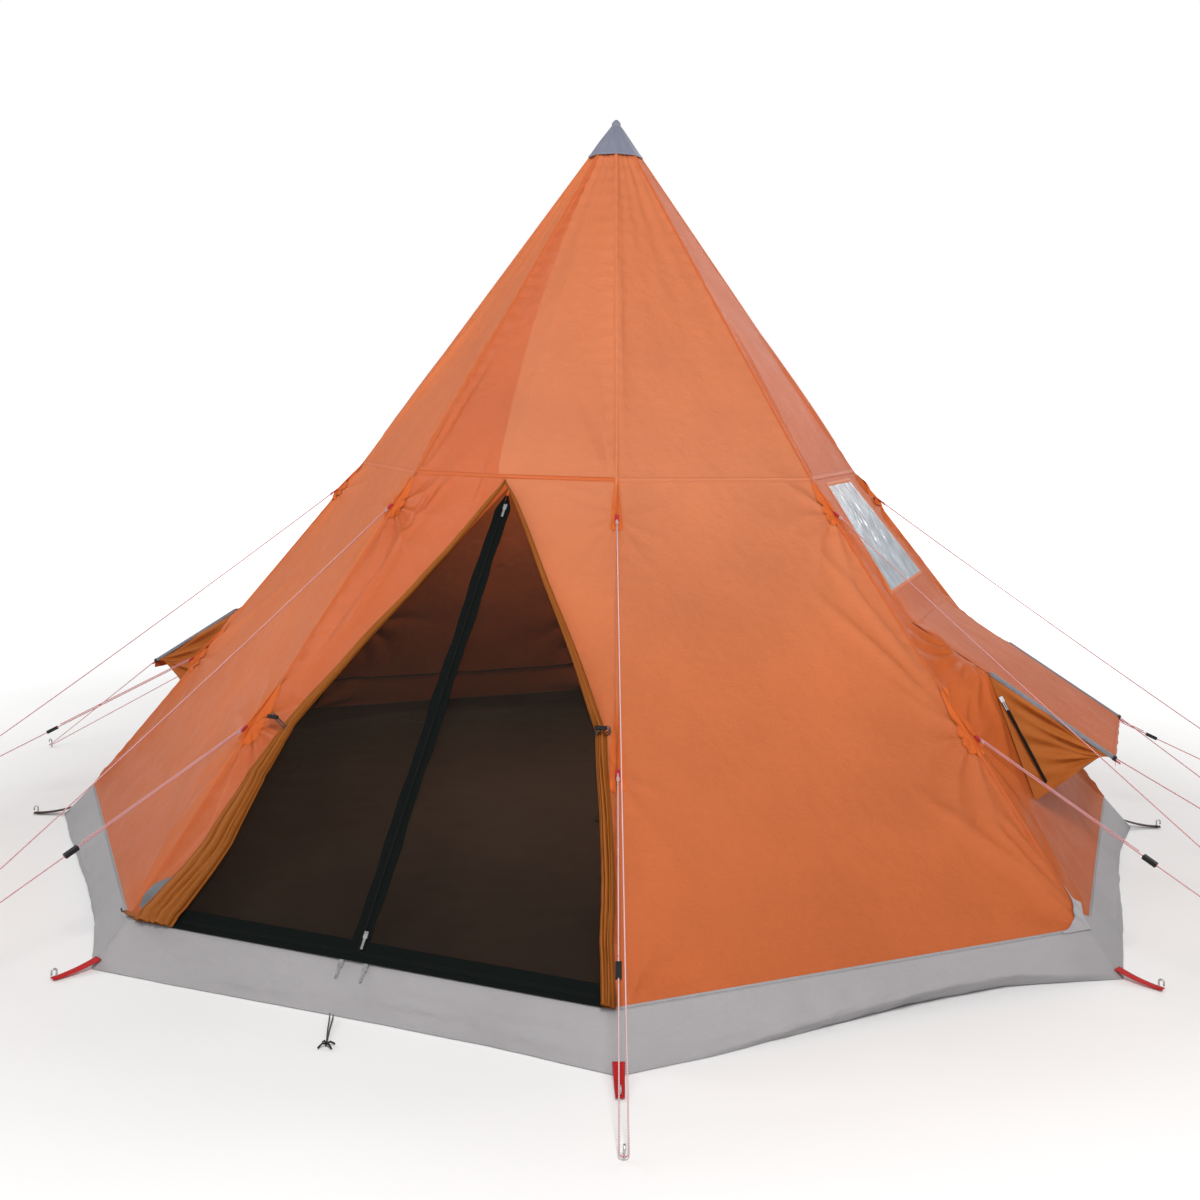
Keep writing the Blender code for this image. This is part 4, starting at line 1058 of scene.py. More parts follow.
def tub_ring(share):
    """One level loop of the tub's wall, from its foot (share 0) to its rim (share 1)."""
    points = []
    for side, name in enumerate(SIDE_NAMES):
        out, across = (np.array(v) for v in side_axes(side))
        u = np.linspace(-1, 1, TUB_COLUMNS, endpoint=False)
        z = 0.0015 + (TUB_TOP_Z + 0.002 - 0.0015) * share
        radius = float(ridge_radius(z))
        along = u * radius * math.sin(HALF_TURN)
        held = 1 - u**4
        # the tuck is a wedge that starts a little way from the left corner
        wedge = np.interp(u, (-1, -0.65, 0.15, 0.55, 1), (0.0, 0.12, 1.0, 1.0, 0.0))
        level = 0.06 + 0.36 * wedge
        tuck = TUCK.get(name, 0.035) * wedge * np.maximum(0.0, 1 - share / level)
        ripple = soft_noise(along, along * 0 + share * 0.5, 40 + side, 0.16) * 0.007
        ripple += soft_noise(along, along * 0 + share * 0.9, 60 + side, 0.05) * 0.0022
        slant = crease(along, along * 0 + share, (-0.55, 0.2), (0.35, 0.8), 0.10, 0.006)
        ripple = ripple * (np.clip((np.abs(along) - 0.08) / 0.1, 0, 1) if name == "front" else 1.0)
        belly = (-0.002 if name == "front" else 0.008) * math.sin(math.pi * share)
        shift = -tuck + held * (belly + ripple * math.sin(math.pi * min(share + 0.15, 1)))
        shift += slant * held * (1 - share)
        if name == "front":
            hollow = np.interp(share, (0, 0.5, 0.9, 1), (0, 0.006, 0.005, 0.002))
            shift -= np.exp(-((along / 0.10) ** 2)) * hollow
        apothem = radius * math.cos(HALF_TURN) + shift
        points.append(out * apothem[:, None] + across * along[:, None] + np.array((0, 0, z)))
    return np.concatenate(points)


def build_tub():
    shares = np.concatenate([np.linspace(0, 0.96, 26), [1.0, 1.02, 1.0]])
    rows = [tub_ring(min(share, 1.0)) for share in shares]
    rim_out = rows[-3]
    centre = rim_out.copy()
    centre[:, 2] = 0
    outward = centre / np.linalg.norm(centre, axis=1)[:, None]
    rows[-3] = rim_out + outward * 0.0030 - np.array((0, 0, 0.006))
    rows[-2] = rim_out + outward * 0.0024
    rows[-1] = rim_out - outward * 0.0006
    length = np.linspace(0, 8 * 1.46, rows[0].shape[0])
    cut = np.stack(np.meshgrid(length, shares * 0.157), axis=-1)
    wall = surface("tub_wall", rows, cut, "tub", wrap=True)
    on_tent(wall, "tub_grey", "groundsheet_tub")
    foot = tub_ring(0.0)
    shares = np.linspace(0.0, 1.0, 46)
    shares[0] = 0.004
    rows, cut = [], []
    for share in shares:
        ring = foot * share
        ring[:, 2] = 0.0026 + 0.0007 * soft_noise(ring[:, 0], ring[:, 1], 7, 0.35)
        rows.append(ring)
        cut.append(ring[:, :2].copy())
    rows[-1][:, 2] = foot[:, 2]
    # the lining turns up the walls, inside the outer cloth: a dark sheet of painted shade for the inside of
    # the tub's walls
    for share in np.linspace(0.03, 0.985, 18):
        ring = tub_ring(share)
        inward = ring / np.linalg.norm(ring[:, :2], axis=1)[:, None] * PAINTED_SHADE_LINING_OFFSET
        ring[:, :2] -= inward[:, :2]
        rows.append(ring)
        cut.append(ring[:, :2] * (1 + 0.08 * share))
    floor = surface("tub_floor", rows, cut, "floor", wrap=True)
    on_tent(floor, "tub_grey", "groundsheet_tub")


def build_tub_corner():
    """At the right front corner the groundsheet runs up over the canopy's foot in a rounded point."""
    number = CORNERS["right_front"][0]
    rows, cut = [], []
    for side, sign in ((number, 1), ((number + 1) % SIDES, -1)):
        distances = CORNER_RISE * np.linspace(0, 1, 22) ** 1.6
        for distance in distances[::-1] if sign > 0 else distances:
            share = 1 - distance / CORNER_RISE
            high = PANEL_FOOT_Z + CORNER_RISE * (1 - math.sqrt(1 - share**2))
            z = np.linspace(PANEL_FOOT_Z - 0.006, high, 12)
            lift = 0.0034 + 0.0030 * math.exp(-distance / 0.02)
            rows.append(skin(side, sign * (half_side(z) - distance + 0.001), z, lift))
            cut.append(np.stack([np.full_like(z, sign * distance), z], axis=-1))
    on_tent(surface("tub_corner", rows, cut, "tub"), "tub_grey")


def build_straps():
    """Webbing pegging loops at the groundsheet's corners, each with its wire peg."""
    for name, (number, _) in CORNERS.items():
        angle = corner_point(number, 1.0, 0.0)
        across = Vector((-angle.y, angle.x, 0))
        shares, spread = np.linspace(0, 1, 22), np.linspace(-1, 1, 7)
        rows, cut = [], []
        for share in shares:
            radius = 1.965 + 0.130 * share
            z = 0.020 * (1 - share) ** 2 + 0.0045
            width = 0.030 - 0.010 * share
            row = []
            for u in spread:
                level = Vector((0, 0, z + 0.002 * (1 - u * u) * share))
                row.append(tuple(angle * radius + across * width / 2 * u + level))
            rows.append(row)
            cut.append([(u * width / 2, share * 0.19) for u in spread])
        front = name in ("front_right", "right_front", "front_left")
        strap = surface(f"strap_{name}", rows, cut, "strap_red" if front else "strap_dark")
        thicken(strap, 0.0022)
        on_tent(strap, "tub_grey", "groundsheet_tub")
        peg = wire_peg(f"corner_peg_{name}", angle * 2.082, angle, 0.0026, 0.030, 0.014)
        on_tent(peg, "peg_steel")


def wire_peg(name, place, outward, radius, height, hook):
    """The part of a bent wire peg above the ground: a stub whose top turns over into a hook."""
    reach = hook / 2
    points = [place + Vector((0, 0, 0.0004)), place + Vector((0, 0, height * 0.35))]
    for angle in np.linspace(0, math.pi, 13):
        level = height - reach + reach * math.sin(angle)
        points.append(place + outward * reach * (1 - math.cos(angle)) + Vector((0, 0, level)))
    points.append(place + outward * hook + Vector((0, 0, height - reach - 0.008)))
    return tube(name, points, radius, "peg", sides=12)


# ---------------------------------------------------------------- door
LEAF_TOP_Z = 1.262
LEAF_FOOT_Z = 0.130
ZIP_LIFT = 0.0018


def door_edge(sign, z):
    """Sideways place of the door opening's edge at a height."""
    kink, foot = (DOOR_KINK_LEFT, DOOR_FOOT_LEFT) if sign < 0 else (DOOR_KINK_RIGHT, DOOR_FOOT_RIGHT)
    return np.interp(z, (foot[1], kink[1], DOOR_TOP_Z), (foot[0], kink[0], 0.0))


def leaf_edge(sign, z):
    """Sideways place of a mesh leaf's sewn edge at a height."""
    foot = DOOR_FOOT_LEFT[0] if sign < 0 else DOOR_FOOT_RIGHT[0]
    return np.interp(z, (LEAF_FOOT_Z, LEAF_TOP_Z), (foot - sign * 0.015, sign * 0.004))


def on_door(x, z, lift=0.0):
    """A point on the door's flat plane, lifted off it."""
    out, across = (np.array(v) for v in side_axes(0))
    base = out * (ridge_radius(z) * math.cos(HALF_TURN))[..., None] + across * x[..., None]
    lift = np.broadcast_to(lift, x.shape)
    return base + np.array((0, 0, 1.0)) * z[..., None] + np.array(wall_normal(0)) * lift[..., None]


def door_point(x, z, lift):
    return Vector(on_door(np.array([x]), np.array([z]), lift)[0])


def door_strip(name, edges, look, lift, heights, columns, sag=0.0, seed=0):
    """A piece of the door between two sideways edges, each a function of height."""
    x0, x1 = (edge(heights) for edge in edges)
    share = np.linspace(0, 1, columns)
    x = x0[:, None] + (x1 - x0)[:, None] * share[None]
    z = np.broadcast_to(heights[:, None], x.shape)
    held = (4 * share * (1 - share))[None] * np.sin(math.pi * np.linspace(0, 1, len(heights)))[:, None]
    drop = -sag * held * (1 + 0.5 * soft_noise(x, z, seed, 0.25))
    cut = np.stack([x, slope_length(z)], axis=-1)
    return surface(name, on_door(x, z, lift + drop), cut, look)


def zip_teeth(name, start, end, across, outward, pitch=0.003):
    """One side of a coil zip: small rounded teeth along a line."""
    along = (end - start).normalized()
    count = int((end - start).length / pitch)
    axes = np.array([tuple(along * pitch * 0.31), tuple(across * 0.0017), tuple(outward * 0.0008)])
    signs = np.array([(x, y, z) for x in (-1, 1) for y in (-1, 1) for z in (-1, 1)])
    box = signs @ axes
    quads = np.array([(0, 1, 3, 2), (4, 6, 7, 5), (0, 4, 5, 1), (2, 3, 7, 6), (0, 2, 6, 4), (1, 5, 7, 3)])
    steps = np.arange(count)
    centres = np.array(tuple(start)) + np.array(tuple(along)) * pitch * (steps[:, None] + 0.5)
    corners = (centres[:, None] + box[None]).reshape(-1, 3)
    faces = (quads[None] + 8 * steps[:, None, None]).reshape(-1, 4)
    mesh = bpy.data.meshes.new(name)
    mesh.from_pydata(corners.tolist(), [], faces.tolist())
    mesh.uv_layers.new(name="cut")
    return place_object(name, mesh, "coil")


def build_door():
    normal = wall_normal(0)
    up = normal.cross(Vector((-1, 0, 0))).normalized()
    borders = []
    for side, sign in (("left", -1), ("right", 1)):
        body = f"door_leaf_{side}"
        heights = np.linspace(LEAF_FOOT_Z, LEAF_TOP_Z - 0.002, 100)

        def split(z):
            return np.full_like(z, sign * 0.0006)

        def sewn(z):
            return leaf_edge(sign, z)

        leaf = door_strip(f"mesh_leaf_{side}", (split, sewn), "net", -0.001, heights, 46, 0.008, 5 + sign)
        on_tent(leaf, "door_mesh", f"door_mesh_{side}", body=body)
        cloth(leaf)

        def band_edge(z):
            wave = 0.002 * np.sin(z * 21 + sign) + 0.0012 * np.sin(z * 57)
            return sign * np.minimum(0.026 + wave, np.abs(leaf_edge(sign, z)) - 0.0005)

        band = door_strip(f"zip_band_{side}", (split, band_edge), "band", 0.0008, heights, 8)
        on_tent(band, "black_plastic", body=body)
        low = np.linspace(LEAF_FOOT_Z - 0.002, LEAF_FOOT_Z + 0.022, 6)
        hem = door_strip(f"hem_band_{side}", (split, sewn), "band", 0.0014, low, 90, -0.002, 9)
        on_tent(hem, "black_plastic", body=body)
        x = sign * 0.0018
        foot, top = (door_point(x, z, ZIP_LIFT) for z in (LEAF_FOOT_Z, LEAF_TOP_Z - 0.02))
        teeth = zip_teeth(f"zip_teeth_{side}", foot, top, Vector((1, 0, 0)), normal)
        on_tent(teeth, "black_plastic", body=body)
        ends = [sign * 0.004, float(leaf_edge(sign, np.array(LEAF_FOOT_Z))) - sign * 0.006]
        for part, z, holder in (("leaf", LEAF_FOOT_Z - 0.0005, body), ("tub", LEAF_FOOT_Z - 0.0045, "tent")):
            a, b = (door_point(e, z, ZIP_LIFT) for e in ends)
            hem_teeth = zip_teeth(f"hem_teeth_{part}_{side}", a, b, up, normal)
            on_tent(hem_teeth, "black_plastic", body=holder)

        def border_in(z):
            return leaf_edge(sign, z) - sign * 0.0003

        def border_out(z):
            return door_edge(sign, z) - sign * 0.003

        tall = np.linspace(LEAF_FOOT_Z, DOOR_TOP_Z - 0.012, 90)
        borders.append(door_strip(f"mesh_border_{side}", (border_in, border_out), "net", -0.0016, tall, 12))
    border = joined("mesh_border", borders)
    on_tent(border, "door_mesh", "door_mesh_border")
    tape_low = np.linspace(PANEL_FOOT_Z - 0.006, LEAF_FOOT_Z - 0.002, 4)

    def tape_left(z):
        return np.full_like(z, DOOR_FOOT_LEFT[0] + 0.004)

    def tape_right(z):
        return np.full_like(z, DOOR_FOOT_RIGHT[0] - 0.004)

    over_rim = np.interp(tape_low, (tape_low[0], tape_low[-1]), (0.0056, 0.0014))[:, None]
    tape = door_strip("hem_tape", (tape_left, tape_right), "band", over_rim, tape_low, 120)
    on_tent(tape, "black_plastic")


def flap_centre(sign, share, lean, widths):
    """The middle of a rolled flap at a share of its way from the door's top to its foot."""
    kink, foot = (DOOR_KINK_LEFT, DOOR_FOOT_LEFT) if sign < 0 else (DOOR_KINK_RIGHT, DOOR_FOOT_RIGHT)
    top = (0.002 * sign, DOOR_TOP_Z + 0.004)
    bend = 0.55
    x = float(np.interp(share, (0, bend, 1), (top[0], kink[0], foot[0])))
    z = float(np.interp(share, (0, bend, 1), (top[1], kink[1], foot[1] - 0.008)))
    inward = (0.010, 0.016, 0.030, 0.040, 0.010) if sign < 0 else (0.008, 0.013, 0.006, 0.005, 0.004)
    over = np.interp(share, (0, 0.5, 0.7, 0.82, 1), inward)
    return x + sign * (np.interp(share, *widths) / 2 + lean - over), z


# lengthwise folds of a rolled flap: place across it, how far it wanders, and its width
FLAP_GROOVES = ((0.16, 0.03, 0.035), (0.38, 0.05, 0.045), (0.60, 0.06, 0.050), (0.80, 0.03, 0.035))


def build_flap(side, sign, widths, depths, lean, turns):
    """A door flap rolled up and tied back: one spiral of cloth, flattened against the wall."""
    normal, out = np.array(wall_normal(0)), np.array(side_axes(0)[0])
    shares = np.linspace(0, 1, 150)
    around = np.linspace(0, 1, 64 * turns + 1)
    rows, cut = [], []
    for share in shares:
        x, z = flap_centre(sign, share, lean, widths)
        width, depth = np.interp(share, *widths), np.interp(share, *depths)
        angle = 2 * math.pi * turns * around
        growth = 0.42 + 0.58 * around
        across = np.cos(angle) * width / 2 * growth
        place = across / width + 0.5
        groove = np.zeros_like(place)
        for centre, wander, size in FLAP_GROOVES:
            middle = centre + wander * math.sin(share * 11 + 9 * centre)
            groove = np.maximum(groove, np.exp(-(((place - middle) / size) ** 2)))
        gather = np.interp(share, (0, 0.5, 0.62, 1), (0.15, 0.35, 0.92, 0.80))
        top = depth * (0.12 + 0.88 * growth * np.maximum(np.sin(angle), 0) ** 0.7) * (1 - gather * groove)
        under = depth * 0.12 * (1 + np.minimum(np.sin(angle), 0) * growth)
        rise = np.where(np.sin(angle) > 0, top, under) * (1 + 0.10 * math.sin(share * 43 + sign))
        under_it = float(wall_relief(0, np.array(x), np.array(z)))
        bulge = float(wall_bulge(0, np.array(x), np.array(z)))
        over_foot = np.interp(share, (0.88, 0.98), (0, 0.005))
        lift = 0.0025 + rise + max(under_it, -0.001 - 0.8 * bulge) + over_foot
        sway = 0.003 * math.sin(share * 17 + sign) * min(1.0, share * 4)
        edge = on_door(x + across + sway, np.full_like(across, z), 0.0)
        rows.append(edge + normal * lift[:, None] + out * bulge)
        unrolled = around * turns * (width + depth) * 1.5
        cut.append(np.stack([unrolled, np.full_like(around, share * 1.45)], axis=-1))
    flap = surface(f"flap_{side}", rows, cut, "flap")
    on_tent(flap, "canopy_orange", f"door_flap_roll_{side}")
    return flap


def build_flap_ties():
    """Elastic loops that hold each rolled flap under its toggle."""
    for side, sign, kink, size in (
        ("left", -1, DOOR_KINK_LEFT, (0.036, 0.020)),
        ("right", 1, DOOR_KINK_RIGHT, (0.021, 0.019)),
    ):
        normal = wall_normal(0)
        along = Vector((sign * 0.42, 0, -0.9)).normalized()
        along = (along - normal * along.dot(normal)).normalized()
        across = normal.cross(along)
        middle = door_point(kink[0] + sign * size[0] * 0.75, kink[1], size[1] + 0.002)
        for index, shift in enumerate((-0.004, 0.004)):
            points = [
                middle + along * shift + across * size[0] * math.cos(a) + normal * size[1] * math.sin(a)
                for a in np.linspace(0, 2 * math.pi, 34)
            ]
            loop = tube(f"toggle_loop_{side}_{index}", points, 0.0016, "elastic", closed_ends=False)
            on_tent(loop, "elastic_black")
    tail = [(-0.640, 0.117, 0.014), (-0.680, 0.118, 0.014), (-0.712, 0.121, 0.011), (-0.732, 0.124, 0.008)]
    points = [on_door(np.array([x]), np.array([z]), lift)[0] for x, z, lift in tail]
    on_tent(tube("flap_tail", points, 0.0055, "flap"), "canopy_orange")
    hook = points[-1]
    bend = [hook, hook + np.array((-0.008, -0.004, 0.001)), hook + np.array((-0.010, -0.004, 0.010))]
    on_tent(tube("flap_tail_hook", bend, 0.003, "elastic"), "elastic_black")


def build_patch():
    """A plain grey triangle at the left foot of the door panel."""
    corners = np.array([(-0.736, 0.162), (-0.622, 0.222), (-0.672, 0.126)])
    rows, cut = [], []
    for v in np.linspace(0, 1, 36):
        ends = corners[0] + (corners[1] - corners[0]) * v, corners[2] + (corners[1] - corners[2]) * v
        row = np.array([ends[0] + (ends[1] - ends[0]) * u for u in np.linspace(0, 1, 30)])
        row[:, 0] = np.maximum(row[:, 0], -half_side(row[:, 1]) + 0.012)
        rows.append(skin(0, row[:, 0], row[:, 1], 0.0024))
        cut.append(row)
    on_tent(surface("corner_patch", rows[:-1], cut[:-1], "patch"), "cap_slate")


# ---------------------------------------------------------------- window and vents
def build_window():
    """The clear film in the right wall, crinkled, under a sewn frame of seam tape."""
    half_low, z_low = WINDOW_FOOT
    half_high, z_high = WINDOW_TOP
    rows, cut = [], []
    for z in np.linspace(z_low - 0.006, z_high - 0.001, 60):
        half = np.interp(z, (z_low, z_high), (half_low, half_high)) + 0.006
        along = np.linspace(-half, half, 64)
        level = np.full_like(along, z)
        held = (1 - (along / half) ** 2) * math.sin(math.pi * (z - z_low + 0.006) / (z_high - z_low + 0.012))
        broad, fine = soft_noise(along, level * 1.3, 21, 0.11), soft_noise(along, level, 22, 0.04)
        crinkle = 0.003 * broad + 0.0014 * fine
        rows.append(skin(2, along, level, 0.0006 + held * crinkle))
        cut.append(np.stack([along, slope_length(level)], axis=-1))
    film = surface("window_film", rows, cut, "film")
    on_tent(film, "window_film", "window_pane")
    cloth(film)
    flatten_with_hood(film)
    z_head = z_high - 0.004
    outline = [(-half_low, z_low), (half_low, z_low), (half_high, z_head), (-half_high, z_head)]
    frames = []
    for index, ((ax, az), (bx, bz)) in enumerate(zip(outline, outline[1:] + outline[:1])):
        run = np.array((bx - ax, (bz - az) * 1.29))
        off = np.array((-run[1], run[0])) / math.hypot(*run) * 0.009
        share = np.linspace(-0.01, 1.01, 60)
        columns, offs = [], (-0.9, -0.8, 0, 0.8, 0.9)
        for u, lift in zip(offs, (0.0004, 0.0014, 0.0018, 0.0014, 0.0004)):
            along = ax + (bx - ax) * share + off[0] * u
            level = np.minimum(az + (bz - az) * share + off[1] * u / 1.29, SEAM_Z - 0.002)
            columns.append(skin(2, along, level, lift))
        cut = np.stack(np.meshgrid(np.array(offs) * 0.009, share * math.hypot(*run)), axis=-1)
        frames.append(surface(f"window_frame_{index}", np.stack(columns, axis=1), cut, "seam"))
    frame_tape = on_tent(joined("window_frame", frames), "canopy_orange")
    flatten_with_hood(frame_tape)


def hood_point(sign, share, y, lift=0.0):
    """A point on a vent hood's plane, from its hinge (share 0) to its tip (share 1)."""
    x = HOOD_HINGE[0] + (HOOD_TIP[0] - HOOD_HINGE[0]) * share
    z = HOOD_HINGE[1] + (HOOD_TIP[1] - HOOD_HINGE[1]) * share + lift
    return Vector((sign * x, y, z))


def build_hood(side, sign):
    """The hood's cloth top, with a short turned-down front edge and stiff side bars."""
    node = body = f"vent_hood_{side}"
    half = HOOD_HALF_WIDTH
    rows, cut = [], []
    length = math.dist(HOOD_HINGE, HOOD_TIP)
    for share in np.linspace(0.0, 1.0, 56):
        y = np.linspace(-half, half, 54)
        held = 1 - (y / half) ** 2
        crown = 0.010 * held * math.sin(math.pi * min(share, 0.98)) ** 0.8
        crown = crown + 0.0025 * soft_noise(y, y * 0 + share * length, 31 + int(sign), 0.12) * held**0.5
        sag = 0.004 * held * max(0.0, share - 0.8) / 0.2
        # above the bars the cloth's edges are sewn down into the wall
        near_edge = np.interp(np.abs(y), (half - 0.03, half), (0, 1))
        sewn = 0.005 * near_edge * np.interp(share, (0.36, 0.42), (1, 0))
        sewn = np.maximum(sewn, 0.006 * max(0.0, 1 - share / 0.05))
        points = [tuple(hood_point(sign, share, v, 0.0012 + c - s)) for v, c, s in zip(y, crown, sag + sewn)]
        rows.append(points)
        cut.append(np.stack([y, np.full_like(y, share * length)], axis=-1))
    for step in range(1, 7):
        y = np.linspace(-half, half, 54)
        curl = 0.004 * math.sin(step / 6 * math.pi / 2)
        ripple = 0.0025 * soft_noise(y, y * 0 + step * 0.01, 35, 0.08) * step / 6
        sag = 0.004 * (1 - (y / half) ** 2)
        drop = step / 6 * 0.030
        tip_x, tip_z = HOOD_TIP[0] + curl, HOOD_TIP[1] + 0.0012
        rows.append([(sign * (tip_x + r), v, tip_z - s - drop) for v, r, s in zip(y, ripple, sag)])
        cut.append(np.stack([y, np.full_like(y, length + drop)], axis=-1))
    # the hood's top takes the side look, a darker copy of the orange painted for its shade
    top = surface(f"hood_cloth_{side}", rows, cut, "side")
    on_tent(top, "canopy_orange", node, body=body)
    cloth(top)
    start, end = hood_point(sign, TRIM_START, 0), hood_point(sign, 1, 0)
    along = (end - start).normalized()
    across = Vector((0, 1, 0))
    for name, way in (("near", -1), ("far", 1)):
        centre = (start + end) / 2 + across * way * (half - TRIM_WIDTH / 2 + 0.001)
        place = placed(centre - Vector((0, 0, 0.001)), along, across)
        size = ((end - start).length + 0.006, TRIM_WIDTH, TRIM_DEPTH)
        bar = rounded_box(f"hood_bar_{side}_{name}", size, place, "trim", 0.003, segments=3)
        on_tent(bar, "cap_slate", node, body=body)
        tip = end + across * way * (half - TRIM_WIDTH / 2 + 0.001) - Vector((0, 0, 0.001))
        place = placed(tip + along * 0.001, along, across)
        cap = rounded_box(f"hood_bar_end_{side}_{name}", (0.012, 0.020, 0.014), place, "plastic", 0.002)
        on_tent(cap, "black_plastic", body=body)
        place = placed(tip + along * 0.012 - Vector((0, 0, 0.005)), along, across)
        loop = rounded_box(f"hood_tab_{side}_{name}", (0.020, 0.011, 0.003), place, "tab", 0.001)
        on_tent(loop, "guy_cord", body=body)


def wall_x(z):
    """Distance of the right wall's middle from the pole, at a height, just outside its cloth."""
    return float(ridge_radius(z)) * math.cos(HALF_TURN) + 0.003


def cheek_point(sign, way, share, down, puff=0.0):
    """A point on a gusset's cheek: share from the wall to the hood's tip, down from the bar."""
    top = hood_point(1, TRIM_START + (0.985 - TRIM_START) * share, 0, -0.003)
    foot = (wall_x(CHEEK_FOOT_Z), CHEEK_FOOT_Z)
    low = [foot[i] + (CHEEK_TIP[i] - foot[i]) * share for i in (0, 1)]
    x = top.x + (low[0] - top.x) * down
    z = top.z + (low[1] - top.z) * down
    return (sign * x, way * (HOOD_HALF_WIDTH - 0.001 + puff), z)


# a vent zip's cross-section: place across it, and how far it stands back towards the cheek
VENT_ZIP_PROFILE = ((-0.0032, 0.012), (-0.003, 0.0), (0, -0.001), (0.003, 0.0), (0.0032, 0.012))


def build_gusset(side, sign):
    """The wrinkled cheeks and floor under a hood, with the zip in the cheek on the door's side."""
    pieces = []
    shares, downs = np.linspace(-0.02, 1.0, 48), np.linspace(0, 1, 56)
    for name, way in (("near", -1), ("far", 1)):
        rows, cut = [], []
        for share in shares:
            row = []
            for down in downs:
                waves = 0.6 * math.sin(down * 19 + 5 * share + way) + 0.4 * math.sin(down * 33 - 4 * share)
                fan_out = 0.012 * (1 - share) * share * 4 * waves
                slack = 0.010 * math.sin(math.pi * down) * math.sin(math.pi * min(1.0, share * 1.1))
                row.append(cheek_point(sign, way, share, down, fan_out - slack))
            rows.append(row)
            cut.append([(p[0], p[2]) for p in row])
        pieces.append(surface(f"gusset_cheek_{side}_{name}", rows, cut, "gusset"))
    rows, cut = [], []
    width = np.linspace(-HOOD_HALF_WIDTH + 0.001, HOOD_HALF_WIDTH - 0.001, 60)
    for share in np.linspace(0, 1, 40):
        x = wall_x(CHEEK_FOOT_Z) + (CHEEK_TIP[0] - wall_x(CHEEK_FOOT_Z)) * share
        z = CHEEK_FOOT_Z + (CHEEK_TIP[1] - CHEEK_FOOT_Z) * share
        held = (1 - (width / HOOD_HALF_WIDTH) ** 2) * math.sin(math.pi * share)
        sag = 0.012 * held + 0.006 * held * soft_noise(width, width * 0 + share * 0.2, 51, 0.12)
        rows.append([(sign * x, y, z - s) for y, s in zip(width, sag)])
        cut.append([(y, share * 0.24) for y in width])
    pieces.append(surface(f"gusset_floor_{side}", rows, cut, "gusset"))
    for piece in pieces:
        on_tent(piece, "canopy_orange")
        flatten_with_hood(piece)
        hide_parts(f"vent_gusset_{side}")
        cloth_span(piece)
    rows, cut = [], []
    for share in np.linspace(0, 1, 40):
        x = VENT_ZIP_TOP[0] + (VENT_ZIP_FOOT[0] - VENT_ZIP_TOP[0]) * share
        z = VENT_ZIP_TOP[1] + (VENT_ZIP_FOOT[1] - VENT_ZIP_TOP[1]) * share
        y = -HOOD_HALF_WIDTH - 0.0085
        rows.append([(sign * (x + off), y + lift, z + off * 0.56) for off, lift in VENT_ZIP_PROFILE])
        cut.append([(off, share * 0.28) for off, _ in VENT_ZIP_PROFILE])
    tape = surface(f"vent_zip_{side}", rows, cut, "coil")
    on_tent(tape, "black_plastic")
    flatten_with_hood(tape)
    heights = np.linspace(VENT_FOOT_Z - 0.01, VENT_TOP_Z + 0.01, 30)
    z, y = np.meshgrid(heights, np.linspace(-VENT_HALF_WIDTH - 0.01, VENT_HALF_WIDTH + 0.01, 30))
    behind = skin(SIDE_NAMES.index(side), y, z, -0.003)
    net = surface(f"vent_net_{side}", behind, np.stack([y, z], axis=-1), "net")
    on_tent(net, "door_mesh")
    cloth(net)
    flatten_with_hood(net)


def cloth_span(piece):
    """A flat size for a cut that is not a rectangle, large enough for its area."""
    width, length, _ = cut_size(piece)
    grow = max(1.0, math.sqrt(mesh_area(piece) / (width * length) * 1.02))
    return width * grow, length * grow


# ---------------------------------------------------------------- guy points and ropes
def build_guy_points():
    """At each tab: two reinforcing patches on the walls, a cloth wing on the ridge and a webbing tab."""
    for name, (number, _) in CORNERS.items():
        for kind, tab, size in (("upper", UPPER_TAB, 0.11), ("lower", LOWER_TAB, 0.14)):
            z = tab[1]
            patches = []
            for side, sign in ((number, 1), ((number + 1) % SIDES, -1)):
                rows, cut = [], []
                for share in np.linspace(0, 1, 30):
                    level = z - 0.35 * size + share * 1.35 * size
                    reach = (0.14 if name == "front_right" else 0.30) * size * (1 - share) ** 0.8 + 0.002
                    off = np.linspace(0.004, reach + 0.004, 20)
                    along = sign * (float(half_side(level)) - off)
                    heights = np.full_like(off, level) + off * 0.35
                    rows.append(skin(side, along, heights, 0.0036))
                    cut.append(np.stack([off, heights], axis=-1))
                patches.append(surface(f"patch_{kind}_{name}_{side}", rows, cut, "wing"))
            on_tent(joined(f"guy_patch_{kind}_{name}", patches), "canopy_orange")
            tip = corner_point(number, *tab)
            out = corner_point(number, 1.0, 0.0)
            rows, cut, reaches = [], [], np.linspace(0, 1, 10)
            for share in np.linspace(0, 1, 16):
                level = z - 0.30 * size + share * 1.30 * size
                root = corner_point(number, float(ridge_radius(level)) + 0.001, level)
                row = [root.lerp(tip - out * 0.002, u * 0.93) for u in reaches]
                swing = Vector((-out.y, out.x, 0)) * 0.0022 * math.sin(share * 9)
                rows.append([tuple(p + swing * math.sin(math.pi * u)) for p, u in zip(row, reaches)])
                cut.append([(u * 0.05, level) for u in reaches])
            wing = surface(f"guy_wing_{kind}_{name}", rows, cut, "wing")
            thicken(wing, 0.0020, offset=0.0)
            on_tent(wing, "canopy_orange")
            down = Vector((0, 0, -1))
            along = (out * 0.8 + down * 0.6).normalized()
            across = Vector((-out.y, out.x, 0))
            place = placed(tip - along * 0.004, along, across)
            webbing = rounded_box(f"guy_tab_{kind}_{name}", (0.026, 0.013, 0.0045), place, "tab", 0.0015, 3)
            on_tent(webbing, "guy_cord")


